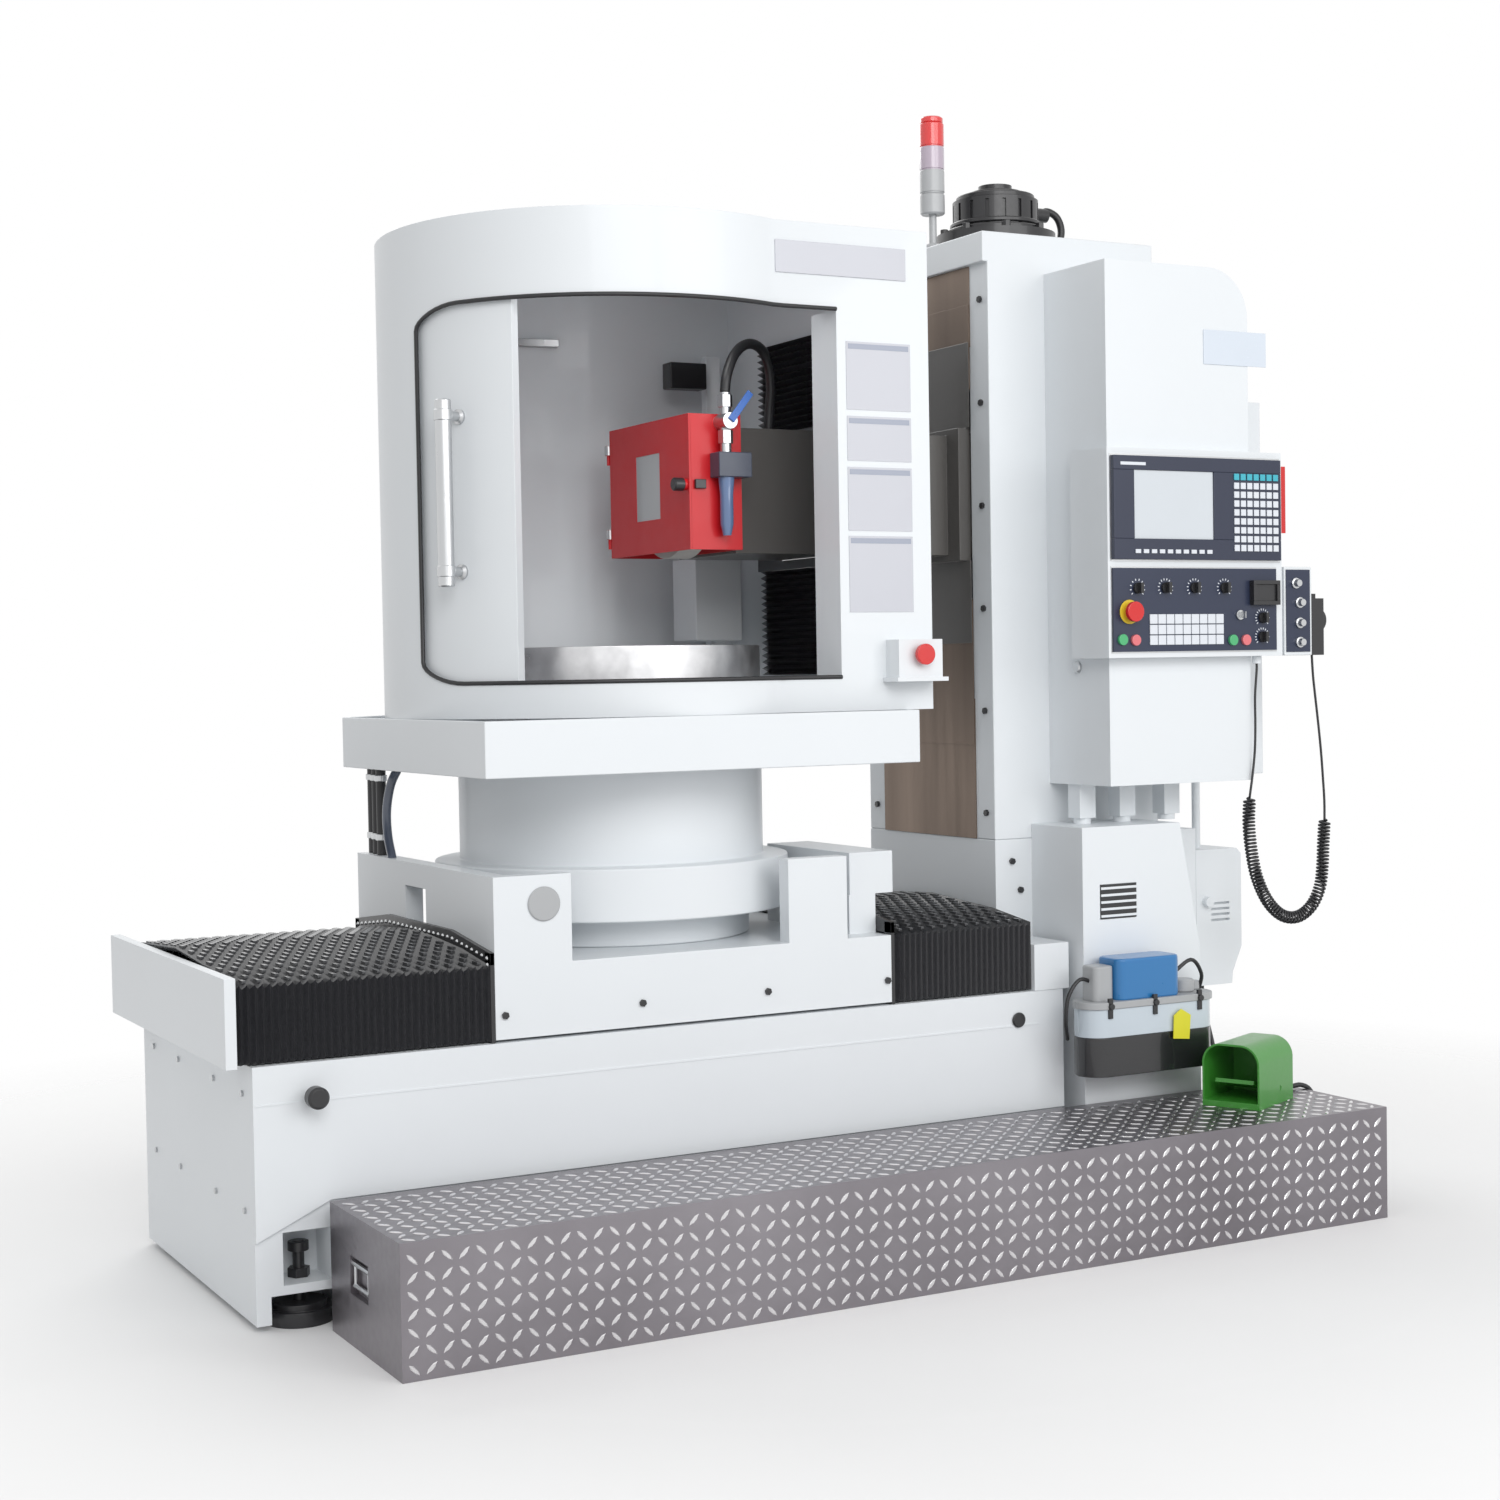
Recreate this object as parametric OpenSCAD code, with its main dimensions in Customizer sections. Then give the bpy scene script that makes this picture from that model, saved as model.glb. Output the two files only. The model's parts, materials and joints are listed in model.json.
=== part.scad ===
// Surface grinder with a rotary table, a column and a horizontal wheel spindle.
// The origin is on the floor, at the middle of the front left levelling pad.
// X runs along the bed to the column, Y runs from the operator to the back, Z is up.

/* [Bed] */
// Length of the bed casting
bed_l = 1660; // [1600:1760]
// Width of the bed casting, front to back
bed_w = 740; // [720:780]
// Height of the bed casting
bed_h = 440; // [420:480]
// Gap between the floor and the casting
floor_gap = 12; // [8:24]
// Depth of the rail channel in the top of the bed
channel_d = 60; // [55:80]
// Width of each wall beside the rail channel
channel_wall = 110; // [90:130]
// Distance of a pad's middle from the bed's edge
pad_inset = 90; // [80:110]
// Radius of a levelling pad
pad_r = 58; // [50:64]

/* [Saddle] */
// Distance of the saddle from the left end of the bed
saddle_at = 440; // [400:470]
// Length of the saddle along the bed
saddle_l = 820; // [780:860]
// Thickness of the saddle slab
saddle_t = 130; // [110:150]
// Height of the posts and of the side wall over the slab
post_h = 158; // [140:165]
// Width of the left front post
post_left_w = 150; // [120:180]
// Width of the right front post
post_right_w = 128; // [100:150]
// Sheet thickness of the posts and the side wall
post_t = 36; // [24:44]

/* [Rotary table] */
// Distance of the table axis behind the front of the bed
axis_back = 390; // [375:400]
// Radius of the magnetic chuck
chuck_r = 300; // [280:310]
// Thickness of the chuck
chuck_t = 98; // [80:110]
// Radius of the housing under the tray
drum_r = 300; // [280:310]
// Radius of the flange of the housing
flange_r = 349; // [335:355]
// Radius of the table shaft
shaft_r = 60; // [50:70]

/* [Tray and hood] */
// Height of the tray
tray_h = 100; // [80:120]
// Half of the tray's width
tray_half = 444; // [440:455]
// Radius of the round part of the hood
hood_r = 440; // [436:450]
// Height of the hood
hood_h = 914; // [890:940]
// Distance of the hood's right wall from the table axis
hood_right = 500; // [480:510]
// Sheet thickness of the hood and the tray
sheet = 6; // [4:8]
// Height of the doorway
doorway_h = 691; // [650:700]
// Radius of the doorway's left corners
doorway_r = 40; // [20:60]

/* [Wheelhead] */
// Radius of the grinding wheel
wheel_r = 127; // [120:130]
// Width of the grinding wheel
wheel_w = 50; // [40:60]
// Height of the wheel spindle over the table top
spindle_up = 304; // [300:320]
// Radius of the wheel spindle
spindle_r = 30; // [25:35]
// Width of the square spindle housing
housing_w = 250; // [240:270]
// Depth of the wheel guard, front to back
guard_d = 360; // [340:370]
// Height of the wheel guard
guard_h = 262; // [255:275]
// Thickness of the wheel guard along the spindle
guard_w = 110; // [100:120]

/* [Column] */
// Width of the column, front to back
col_w = 490; // [470:500]
// Length of the column along the bed
col_l = 420; // [400:440]
// Height of the column over its base
col_h = 1240; // [1200:1280]
// Height of the column base
base_h = 745; // [730:760]
// Width of the strips beside the way covers
strip_w = 71; // [60:80]

/* [Cabinets] */
// Width of the front cabinet
cab_w = 362; // [340:380]
// Depth of the front cabinet
cab_d = 206; // [190:215]
// Height of the front cabinet
cab_h = 1048; // [1000:1080]
// Radius of the front cabinet's rounded top corner
cab_corner = 100; // [60:130]
// Width of the control panel housing
panel_w = 444; // [430:460]
// Height of the control panel housing
panel_h = 416; // [400:440]
// Depth of the control panel housing
panel_d = 122; // [110:130]
// Width of the rear cabinet
rear_w = 290; // [250:310]
// Height of the rear cabinet
rear_h = 808; // [760:850]

/* [Step and pedal] */
// Length of the step
step_l = 2045; // [1900:2100]
// Depth of the step
step_d = 344; // [300:360]
// Height of the step
step_h = 220; // [200:240]
// Thickness of the step's plate
step_t = 4; // [3:6]
// Length of the pedal guard
pedal_l = 186; // [170:200]
// Width of the pedal guard
pedal_w = 122; // [110:130]
// Height of the pedal guard
pedal_h = 126; // [115:140]

/* [Hidden] */
$fn = 48;

// One running gap for pieces that move past each other, and one overrun for cuts
gap = 0.3;
over = 1;

// Bed
bed_x = -pad_inset;
bed_y = -pad_inset * 2 / 3;
bed_top = floor_gap + bed_h;
channel_z = bed_top - channel_d;
channel_end = 60;
pad_h = 36;
screw_r = 10;
screw_gap = 0.1;
nut_r = 20;
nut_h = 16;
notch_h = 48;
pocket_z = floor_gap + 64;
pocket_w = 84;
pocket_h = 90;
pocket_d = 90;
toe_d = 8;
toe_low = 142;
toe_high = 202;
toe_run = 133;
pad_ys = [0, bed_w + 2 * bed_y];
pad_xs = [0, bed_l / 2 + bed_x, bed_l + 2 * bed_x];

// Linear rails, the same section on the bed and on the column
rail_w = 45;
rail_h = 38;
block_w = 96;
block_l = 140;
saddle_gap = 5;
saddle_z = bed_top + saddle_gap;
bed_rail_in = 70;
bed_rail_dy = bed_w / 2 - channel_wall - bed_rail_in;
bed_mid = bed_y + bed_w / 2;

// Saddle
saddle_x = bed_x + saddle_at;
saddle_y = bed_y + saddle_gap;
saddle_w = bed_w - 2 * saddle_gap;
slab_top = saddle_z + saddle_t;
post_top = slab_top + post_h;
post_right_at = 595;
window_y = 340;
window_w = 110;
window_z = 16;
window_h = 96;
deck_l = 98;
deck_d = 330;
deck_h = 82;
deck_leg = 60;
deck_over = 40;
deck_gap = 20;

// Rotary table
axis_x = saddle_x + saddle_l / 2;
axis_y = bed_y + axis_back;
plinth_h = 54;
flange_z = slab_top + plinth_h;
flange_h = 100;
drum_h = 180;
drum_top = flange_z + flange_h + drum_h;
bore_wall = 60;
bearing_h = 40;
bearing_r = 95;
neck_r = 150;
neck_h = 112;
neck_collar_low = 8;
hub_h = 20;
table_top = drum_top + neck_h + hub_h + chuck_t;
chuck_z = table_top - chuck_t;
ring_w = 12;
ring_groove = 2;
hub_r = 120;
run_fit = 0.05;

// Tray and hood
tray_z = drum_top;
tray_lap_front = 6;
tray_lap_back = 4;
tray_front = axis_y - hood_r - tray_lap_front;
tray_back = axis_y + hood_r + tray_lap_back;
tray_cut_share = 0.28;
hood_z = tray_z + tray_h;
hood_top = hood_z + hood_h;
flat_half_share = 0.925;
flat_half = hood_r * flat_half_share;
doorway_left = 427;
doorway_right = 296;
doorway_up = 65;
doorway_z = hood_z + doorway_up;
jamb_d = 88;
doorway_deep = 10;
slot_w = 450;
slot_up = 70;
slot_z = hood_z + slot_up;
slot_h = 700;
roof_r = 24;

// Sliding door
door_gap = 4;
door_r = hood_r - sheet - door_gap;
door_t = 6;
door_lip = 28;
door_lip_arc = 0.5;
door_start = 101;
door_arc = 122;
door_lap = 24;
door_z = doorway_z - door_lap;
door_h = doorway_h + 2 * door_lap;
rail_ring_w = 14;
rail_ring_h = 16;
rail_ring_lip = 4;
rail_start = 78;
rail_arc = 242;
handle_angle = 207.5;
handle_off = 44;
handle_r = 15;
handle_up = 176;
handle_z = doorway_z + handle_up;
handle_l = 338;
handle_foot_r = 9;
handle_foot_in = 28;
handle_foot_l = handle_off - handle_r / 2;

// Column
col_lap = 60;
col_x = bed_x + bed_l - col_lap;
col_y = axis_y - col_w / 2;
col_z = base_h;
col_top = col_z + col_h;
cap_h = 62;
cap_lip = 12;
recess_d = 42;
col_rail_in = 49;
col_rail_dy = col_w / 2 - strip_w - col_rail_in;
base_l = 520;
base_x1 = col_x + base_l;
shelf_in = 90;
shelf_x0 = col_x + shelf_in;
shelf_l_top = 247;
shelf_x1_top = shelf_x0 + shelf_l_top;
shelf_l_low = 296;
shelf_x1_low = shelf_x0 + shelf_l_low;
slope_down = 226;
shelf_slope_z = base_h - slope_down;
shelf_out = 30;
shelf_y = bed_y - shelf_out;
shelf_up = 30;
shelf_top = base_h + shelf_up;
louvre_in = 43;
louvre_x = shelf_x0 + louvre_in;
louvre_down = 157;
louvre_z = base_h - louvre_down;
louvre_w = 91;
louvre_h = 70;
louvre_d = 14;
louvre_n = 5;
louvre_share = 0.45;

// Wheelhead
spindle_z = table_top + spindle_up;
guard_off = 100;
guard_x = axis_x + guard_off;
guard_y = axis_y - guard_d / 2;
guard_low = 118;
guard_z = spindle_z - guard_low;
guard_t = 4;
guard_shelf = 40;
housing_x = guard_x + guard_w;
housing_low = 122;
housing_z = spindle_z - housing_low;
housing_h = 248;
housing_edge = 12;
carriage_t = 28;
carriage_in = 2;
carriage_x = col_x - carriage_t + carriage_in;
carriage_rim = 12;
carriage_z = housing_z - carriage_rim;
carriage_h = housing_h + 2 * carriage_rim;
carriage_side = 5;
carriage_w = col_w - 2 * strip_w - 2 * carriage_side;
head_block_trim = 6;
head_block_end = 10;
head_block_gap = 4;
spindle_bore_end = 40;
shaft_end = 45;
rotor_end = 20;
bearing_l = 45;
nose_r = 62;
nose_l = 14;
motor_bore_r = 75;
motor_bore_l = 200;
wheel_in = 32;
wheel_x = guard_x + wheel_in;
wheel_flange_r = 55;
wheel_flange_t = 14;
wheel_step = 5;
wheel_bore_r = spindle_r - wheel_step;
wheel_nut_r = 26;
wheel_nut_l = 16;
guard_window_y = 129;
guard_window_w = 108;
guard_window_z = 67;
guard_window_h = 130;
guard_hinge_r = 7;
guard_hinge_l = 40;
guard_pin_r = 3.5;
guard_pin_gap = 0.08;
guard_hinge_share = [0.15, 0.81];
guard_door_t = 4;
guard_lip = 14;
latch_r = 11;
latch_l = 26;
latch_share = 0.48;

// Way covers, each plate in front of the next by one pitch
cover_t = 2;
cover_pitch = 2.5;
cover_side = 6;
cover_w = col_w - 2 * strip_w + 2 * cover_side;
cover_lip = 8;
cover_low_lap = 286;
cover_middle_lap = 381;
cover_middle_rest = 81;
cover_head_lap = 171;
cover_head_rest = 155;
cover_middle_over = 78;
cover_high_lap = 165;
carriage_top = carriage_z + carriage_h;
cover_top = col_top - cap_h;
cover_low_fixed = [col_z, carriage_z - cover_low_lap];
cover_low_middle = [carriage_z - cover_middle_lap, carriage_z - cover_middle_rest];
cover_low_head = [carriage_z - cover_head_lap, carriage_z];
cover_high_head = [carriage_top, cover_top - cover_head_rest];
cover_high_middle = [carriage_top + cover_middle_over, cover_top - cover_middle_over];
cover_high_fixed = [cover_top - cover_high_lap, cover_top];

// Bellows and their frames
fold_pitch = 18;
fold_d = 9;
fold_t = 3;
bellows_gap = 3;
bellows_z = bed_top + bellows_gap;
bellows_side_h = 135;
bellows_rise = 32;
bellows_shoulder_share = 0.82;
frame_t = 8;
frame_lip = 22;
end_plate_t = 3;
end_plate_out = 51;
end_plate_x = bed_x - end_plate_out;
end_plate_front = 24;
end_plate_y = bed_y - end_plate_front;
end_plate_back = 36;
end_plate_w = bed_w + end_plate_front + end_plate_back;
end_plate_h = 152;
end_return = 20;
end_block_l = 84;
end_block_out = 2;
end_block_gap = 9;
end_block_back = 98;
end_block_h = 93;
end_block_over = 14;
end_block_x = bed_x + bed_l - end_block_l + end_block_over;
bellows_in = 4;
frame_over = 2;
bellows_y = saddle_y + bellows_in;
bellows_w = saddle_w - 2 * bellows_in;

// Head bellows
fold_z_pitch = 14;
fold_z_d = 14;
head_fold_t = 2;
seal_t = 6;
fold_room = 30;
fold_bar_h = 12;
seal_x = axis_x + hood_right - sheet - fold_room;
seal_gap = 1;
seal_rim = 20;
seal_z = housing_z - seal_rim;
seal_h = housing_h + 2 * seal_rim;

// Cabinets and the control panel
cab_in = 139;
cab_x = col_x + cab_in;
cab_y = col_y - cab_d;
mount_h = 82;
cab_z = shelf_top + mount_h;
cab_t = 4;
mount_w = 40;
mount_pad_r = 18;
mount_pad_h = 12;
mount_shares = [0.08, 0.36, 0.68];
mount_y_share = 0.66;
rear_x = col_x + col_l;
rear_d = 350;
rear_z = cab_z;
panel_side = 27;
panel_x = cab_x - panel_side;
panel_out = 35;
panel_y = cab_y - panel_out;
panel_up = 256;
panel_z = cab_z + panel_up;
panel_wall = 3;
face_solid = 4;
back_solid = 2;
bore_spare = 2;
unit_t = 10;
cnc_in = 9;
cnc_x = panel_x + cnc_in;
cnc_up = 195;
cnc_z = panel_z + cnc_up;
cnc_w = 426;
cnc_h = 205;
screen_in = 51;
screen_x = cnc_x + screen_in;
screen_up = 41;
screen_z = cnc_z + screen_up;
screen_w = 200;
screen_h = 136;
screen_d = 3;
keys_in = 302;
keys_x = cnc_x + keys_in;
keys_up = 18;
keys_z = cnc_z + keys_up;
key_w = 13;
key_pitch = 18;
key_h = 2.5;
key_cols = 7;
key_rows = 9;
softkey_up = 12;
softkey_z = cnc_z + softkey_up;
softkey_h = 8;
op_x = cnc_x;
op_up = 12;
op_z = panel_z + op_up;
op_w = 416;
op_h = 166;
op_t = 5;
pad_keys_in = 88;
pad_keys_x = op_x + pad_keys_in;
pad_keys_up = 13;
pad_keys_z = op_z + pad_keys_up;
pad_key_w = 19;
pad_key_pitch = 21;
pad_key_cols = 9;
pad_key_rows = 3;
counter_in = 345;
counter_x = op_x + counter_in;
counter_up = 92;
counter_z = op_z + counter_up;
counter_w = 70;
counter_h = 50;
counter_t = 14;
counter_rim = 9;
side_gap = 6;
side_x = panel_x + panel_w + side_gap;
side_w = 74;
side_h = 183;
side_d = 60;
bracket_t = 12;
face_y = panel_y;
plate_y = face_y - op_t;

// Controls, placed from the lower left corner of the operator plate
knob_r = 11;
knob_l = 17;
knob_stem_r = 4;
knob_stem_l = 6;
knob_bore_gap = 0.08;
knob_root = 2;
knob_1_in = 59;
knob_2_in = 129;
knob_3_in = 202;
knob_4_in = 279;
knob_5_in = 378;
knob_6_in = 377;
knob_1_up = 126;
knob_row_up = 127;
knob_5_up = 66;
knob_6_up = 27;
knob_places = [
    [knob_1_in, knob_1_up], [knob_2_in, knob_row_up], [knob_3_in, knob_row_up],
    [knob_4_in, knob_row_up], [knob_5_in, knob_5_up], [knob_6_in, knob_6_up]
];
key_in = 318;
key_up = 72;
key_place = [key_in, key_up];
key_ring_t = 4;
key_t = 2;
key_l = 20;
key_blade_l = 17;
button_1_in = 20;
button_2_in = 52;
button_3_in = 299;
button_4_in = 333;
button_1_up = 24;
button_2_up = 23;
button_3_up = 21;
button_proud = 2;
button_places = [
    [button_1_in, button_1_up], [button_2_in, button_2_up],
    [button_3_in, button_3_up], [button_4_in, button_3_up]
];
button_r = 11;
button_l = 9;
button_travel = 4;
estop_in = 38;
estop_up = 79;
estop_r = 20;
estop_h = 14;
estop_stem_r = 9;
estop_stem_l = 16;
estop_travel = 6;
collar_r = 24;
collar_h = 3;

// Hood emergency stop
hood_box_in = 105;
hood_box_lip = 8;
hood_box_x = axis_x + hood_right - hood_box_in;
hood_box_w = 98;
hood_box_h = 72;
hood_box_d = 46;
hood_box_y = axis_y - flat_half - hood_box_d;
hood_box_up = 62;
hood_box_z = hood_z + hood_box_up;

// Main switch and pendant
switch_up = 599;
switch_z = cab_z + switch_up;
switch_back = 20;
switch_y = col_y + switch_back;
switch_collar_r = 19;
switch_collar_l = 40;
switch_r = 32;
switch_t = 8;
switch_grip_w = 18;
switch_grip_l = 146;
switch_grip_h = 32;
cord_front = 7;
cord_y = cab_y - cord_front;
plug_in = 399;
plug_low = 16;
plug_low_r = 9;
pendant_front = 24;
pendant_y = cord_y - pendant_front;
pendant_w = 36;
pendant_d = 62;
pendant_h = 118;
pendant_z = panel_z;
dial_r = 24;
dial_t = 14;
dial_stem_in = 5;
dial_stem_l = 6;
crank_l = 12;
hook_h = 10;

// Signal tower and motor on top of the column
tower_in = 26;
tower_x = col_x + tower_in;
tower_off = 5;
tower_y = axis_y - tower_off;
tower_r = 26;
tower_foot_r = 20;
tower_foot_h = 14;
tower_pole_r = 8;
tower_pole_h = 62;
tower_base_h = 44;
tower_stack_z = tower_foot_h + tower_pole_h + tower_base_h;
tower_light_h = 46;
tower_lights = 3;
tower_cap_h = 14;
tower_joint_r = 24;
tower_joint_h = 3;
motor_in = 190;
motor_x = col_x + motor_in;
motor_flange_r = 128;
motor_flange_h = 44;
motor_r = 92;
motor_h = 72;
motor_cap_r = 36;
motor_cap_h = 34;
motor_rib_n = 16;
motor_rib_w = 8;
motor_rib_d = 5;
plug_l = 46;
plug_r = 15;

// Junction box behind the base
box_x = base_x1;
box_y = col_y;
box_w = 124;
box_d = 150;
box_down = 342;
box_z = base_h - box_down;
box_h = 294;
box_slot_w = 50;
box_slot_h = 5;
box_slot_n = 4;
box_slot_pitch = 12;
box_slot_x = 41;
box_slot_z = 138;
box_knob_r = 11;
box_knob_l = 14;
box_foot = 25;
box_knee = 80;
box_chamfer = 12;
box_slot_d = 10;
box_knob_in = 14;
box_knob_up = 44;
conduit_in = 50;
conduit_r = 9;

// Lubricator on the front of the base
lube_out = 52;
lube_x = shelf_x0 - lube_out;
lube_l = 318;
lube_d = 88;
lube_down = 457;
lube_z = base_h - lube_down;
lube_tank_h = 78;
lube_clear_h = 56;
lube_lid_h = 12;
lube_pump_x = 72;
lube_pump_l = 156;
lube_pump_h = 84;
lube_pump_d = 76;
lube_grey_l = 48;
lube_bracket_t = 6;
lube_bracket_low = 20;
lube_pump_round = 18;
lube_grey_round = 14;

// Step and pedal
step_in = 117;
step_x = bed_x + step_in;
step_gap = 36;
step_y = bed_y - step_d - step_gap;
bail_y_share = 0.58;
bail_z_share = 0.54;
bail_w = 66;
bail_h = 36;
bail_r = 4;
bail_gap = 0.08;
cup_w = 94;
cup_h = 68;
cup_d = 14;
cup_t = 2;
cup_y = step_y + step_d * bail_y_share;
cup_z = step_h * bail_z_share;
bail_x = step_x + bail_r + cup_t;
bail_z = cup_z + bail_h / 2;
pedal_in = 1785;
pedal_x = step_x + pedal_in;
pedal_back = 158;
pedal_y = step_y + pedal_back;
pedal_turn = 25;
pedal_t = 4;
pedal_foot_t = 12;
pedal_nose = 40;
plate_l = 104;
plate_w = 82;
plate_t = 8;
plate_tilt = 14;
plate_pin_r = 5;
plate_pin_z = 30;
plate_pin_in = 34;
plate_pin_short = 1;

// Coolant fittings on the wheel guard
block_in = 41;
block_x = guard_x + block_in;
block_w2 = 72;
block_h2 = 48;
block_d2 = 40;
block_up = 138;
block_z = guard_z + block_up;
pipe_x = block_x + block_w2 * 0.35;
pipe_y = guard_y - block_d2 / 2;
pipe_r = 11;
valve_r = 17;
valve_l = 44;
lever_l = 70;
lever_w = 14;
lever_t = 4;
lever_tilt = 38;
hose_r = 10;
nozzle_r = 13;
nozzle_l = 112;
pipe_l = 116;
valve_up = 60;
drain_in = 18;
drain_step = 6;
drain_back = 244;
drain_pitch = 40;
drain_grow = 1;

// Free cords and hoses, points chosen along each route
cord_r = 2.5;
curl_r = 11;
curl_n = 74;
curl_rings = 8;
cord_sides = 6;
pendant_lead = [
    [2111, 1097], [2111, 1084], [2106, 1030], [2106, 970], [2104, 918], [2097, 866], [2089, 822]
];
pendant_curve = [
    [2089, 822], [2086, 770], [2092, 712], [2106, 655], [2134, 604], [2172, 572], [2214, 566],
    [2252, 586], [2276, 624], [2284, 668], [2287, 716], [2291, 768]
];
pendant_tail = [
    [2291, 768], [2291, 806], [2288, 850], [2283, 910], [2276, 970], [2268, 1030], [2263, 1070],
    [2260, 1113]
];
pedal_cord_r = 5;
pedal_route = [
    [2180, 203, 403], [2180, 203, 384], [2182, 200, 350], [2186, 188, 300], [2194, 172, 232],
    [2204, 148, 150], [2214, 120, 80], [2226, 86, 30], [2240, 44, 7], [2256, -6, 5], [2268, -66, 5],
    [2270, -118, 5], [2262, -160, 5], [2242, -184, 7], [2214, -188, 26], [2196, -178, 62],
    [2187, -168, 110], [2185, -158, 160], [2183, -150, 196], [2174, -143, 219], [2156, -138, 228],
    [2135, -136, 227], [2113, -140, 229], [2095, -149, 232], [2077, -157, 233]
];
hose_route = [
    [1016, 190, 1640], [1022, 192, 1672], [1040, 200, 1708], [1066, 212, 1732], [1098, 226, 1741],
    [1130, 242, 1730], [1152, 258, 1700], [1163, 272, 1662], [1166, 284, 1622], [1166, 290, 1582]
];

// Points along a smooth curve through p, k steps between each pair
function spline_at(a, b, c, d, t) =
    0.5 * (2 * b + (c - a) * t + (2 * a - 5 * b + 4 * c - d) * t * t
    + (3 * b - a - 3 * c + d) * t * t * t);
function spline(p, k) = [
    for (i = [0 : len(p) - 2]) for (j = [0 : k - 1])
        spline_at(i == 0 ? 2 * p[0] - p[1] : p[i - 1], p[i], p[i + 1],
            i == len(p) - 2 ? 2 * p[i + 1] - p[i] : p[i + 2], j / k),
    p[len(p) - 1]
];
function unit_v(v) = v / norm(v);
function tangent(p, i) = unit_v(p[min(i + 1, len(p) - 1)] - p[max(i - 1, 0)]);
function ring_at(c, e1, e2, r, n) = [
    for (k = [0 : n - 1]) c + r * (cos(360 * k / n) * e1 + sin(360 * k / n) * e2)
];
function side_faces(m, n) = [
    for (i = [0 : m - 2]) for (k = [0 : n - 1]) each [
        [i * n + k, (i + 1) * n + k, (i + 1) * n + (k + 1) % n],
        [i * n + k, (i + 1) * n + (k + 1) % n, i * n + (k + 1) % n]
    ]
];
function end_faces(m, n) = [
    for (k = [1 : n - 2]) each [[0, k, k + 1], [(m - 1) * n, (m - 1) * n + k + 1, (m - 1) * n + k]]
];

function turned(faces) = [for (f = faces) [for (i = [len(f) - 1 : -1 : 0]) f[i]]];

// A round tube along a path, its first ring square to the start
module tube(path, r, n, ref) {
    m = len(path);
    rings = [
        for (i = [0 : m - 1])
            let (t = tangent(path, i), e1 = unit_v(cross(t, ref)), e2 = cross(t, e1))
            each ring_at(path[i], e1, e2, r, n)
    ];
    polyhedron(rings, concat(side_faces(m, n), end_faces(m, n)));
}

// Boxes and rods between named places
module slab(lo, size) translate(lo) cube(size);
module rod_x(p, r, l) translate(p) rotate([0, 90, 0]) cylinder(r = r, h = l);
module rod_y(p, r, l) translate(p) rotate([-90, 0, 0]) cylinder(r = r, h = l);
module rod_z(p, r, l) translate(p) cylinder(r = r, h = l);

// A box of sheet metal with its back or its bottom open
module open_box(size, t, cut_from) {
    difference() {
        cube(size);
        translate(cut_from) cube(size - [2 * t, t, 2 * t] + [0, over, 0]);
    }
}

// Bed

module pad_pocket(y, dir) {
    y0 = dir > 0 ? bed_y - over : bed_y + bed_w - pocket_d;
    slab([-pocket_w / 2, y0, pocket_z], [pocket_w, pocket_d + over, pocket_h]);
    slab([-pad_r * 1.1, y0, floor_gap - over], [pad_r * 2.2, pad_r * 2.2 + over, notch_h + over]);
    translate([0, y, floor_gap]) cylinder(r = screw_r + screw_gap, h = pocket_z);
    translate([0, y, floor_gap - over]) cylinder(r = pad_r * 1.1, h = notch_h + over);
}

module bed() color("ghostwhite") difference() {
    slab([bed_x, bed_y, floor_gap], [bed_l, bed_w, bed_h]);
    slab([bed_x + channel_end, bed_y + channel_wall, channel_z],
        [bed_l - 2 * channel_end, bed_w - 2 * channel_wall, channel_d + over]);
    for (x = pad_xs) translate([x, 0, 0]) {
        pad_pocket(pad_ys[0], 1);
        pad_pocket(pad_ys[1], -1);
    }
    translate([bed_x - over, bed_y + toe_d, 0]) rotate([90, 0, 0])
        linear_extrude(toe_d + over) polygon([
            [0, floor_gap + toe_low], [toe_run, floor_gap + toe_high],
            [bed_l + 2 * over, floor_gap + toe_high], [bed_l + 2 * over, 0], [0, 0]
        ]);
}

module levelling_pad(x, y) translate([x, y, 0]) {
    cylinder(r = pad_r, h = pad_h * 0.7);
    cylinder(r = pad_r * 0.8, h = pad_h);
    cylinder(r = screw_r, h = pocket_z + pocket_h * 0.7);
    translate([0, 0, pocket_z]) cylinder(r = nut_r, h = nut_h, $fn = 6);
    translate([0, 0, pocket_z + pocket_h * 0.5]) cylinder(r = nut_r * 0.9, h = nut_h);
}

module levelling_pads() color([0.08, 0.08, 0.09]) {
    for (x = pad_xs, y = pad_ys) levelling_pad(x, y);
    for (y = [col_y + pad_inset, col_y + col_w - pad_inset])
        translate([base_x1 - pad_inset, y, 0]) cylinder(r = pad_r, h = floor_gap);
}

module guide_rails() color("silver") {
    for (s = [-1, 1])
        slab([bed_x + channel_end, bed_mid + s * bed_rail_dy - rail_w / 2, channel_z],
            [bed_l - 2 * channel_end, rail_w, rail_h]);
    for (s = [-1, 1])
        slab([col_x + recess_d - rail_h, axis_y + s * col_rail_dy - rail_w / 2, col_z],
            [rail_h, rail_w, col_h - cap_h]);
}

module end_covers() color("ghostwhite") {
    difference() {
        slab([end_plate_x, end_plate_y, bellows_z], [end_return, end_plate_w, end_plate_h]);
        slab([end_plate_x + end_plate_t, end_plate_y + end_plate_t, bellows_z + end_plate_t],
            [end_return, end_plate_w - 2 * end_plate_t, end_plate_h - 2 * end_plate_t]);
    }
    slab([end_plate_x + end_return, bed_y + channel_wall, bed_top],
        [end_plate_out - end_return + channel_end / 2, bed_w - 2 * channel_wall, bellows_gap]);
    end_block(bed_y - end_block_out, col_y - end_block_gap - bed_y + end_block_out);
    end_block(col_y + col_w + end_block_gap, end_block_back);
}

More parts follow.
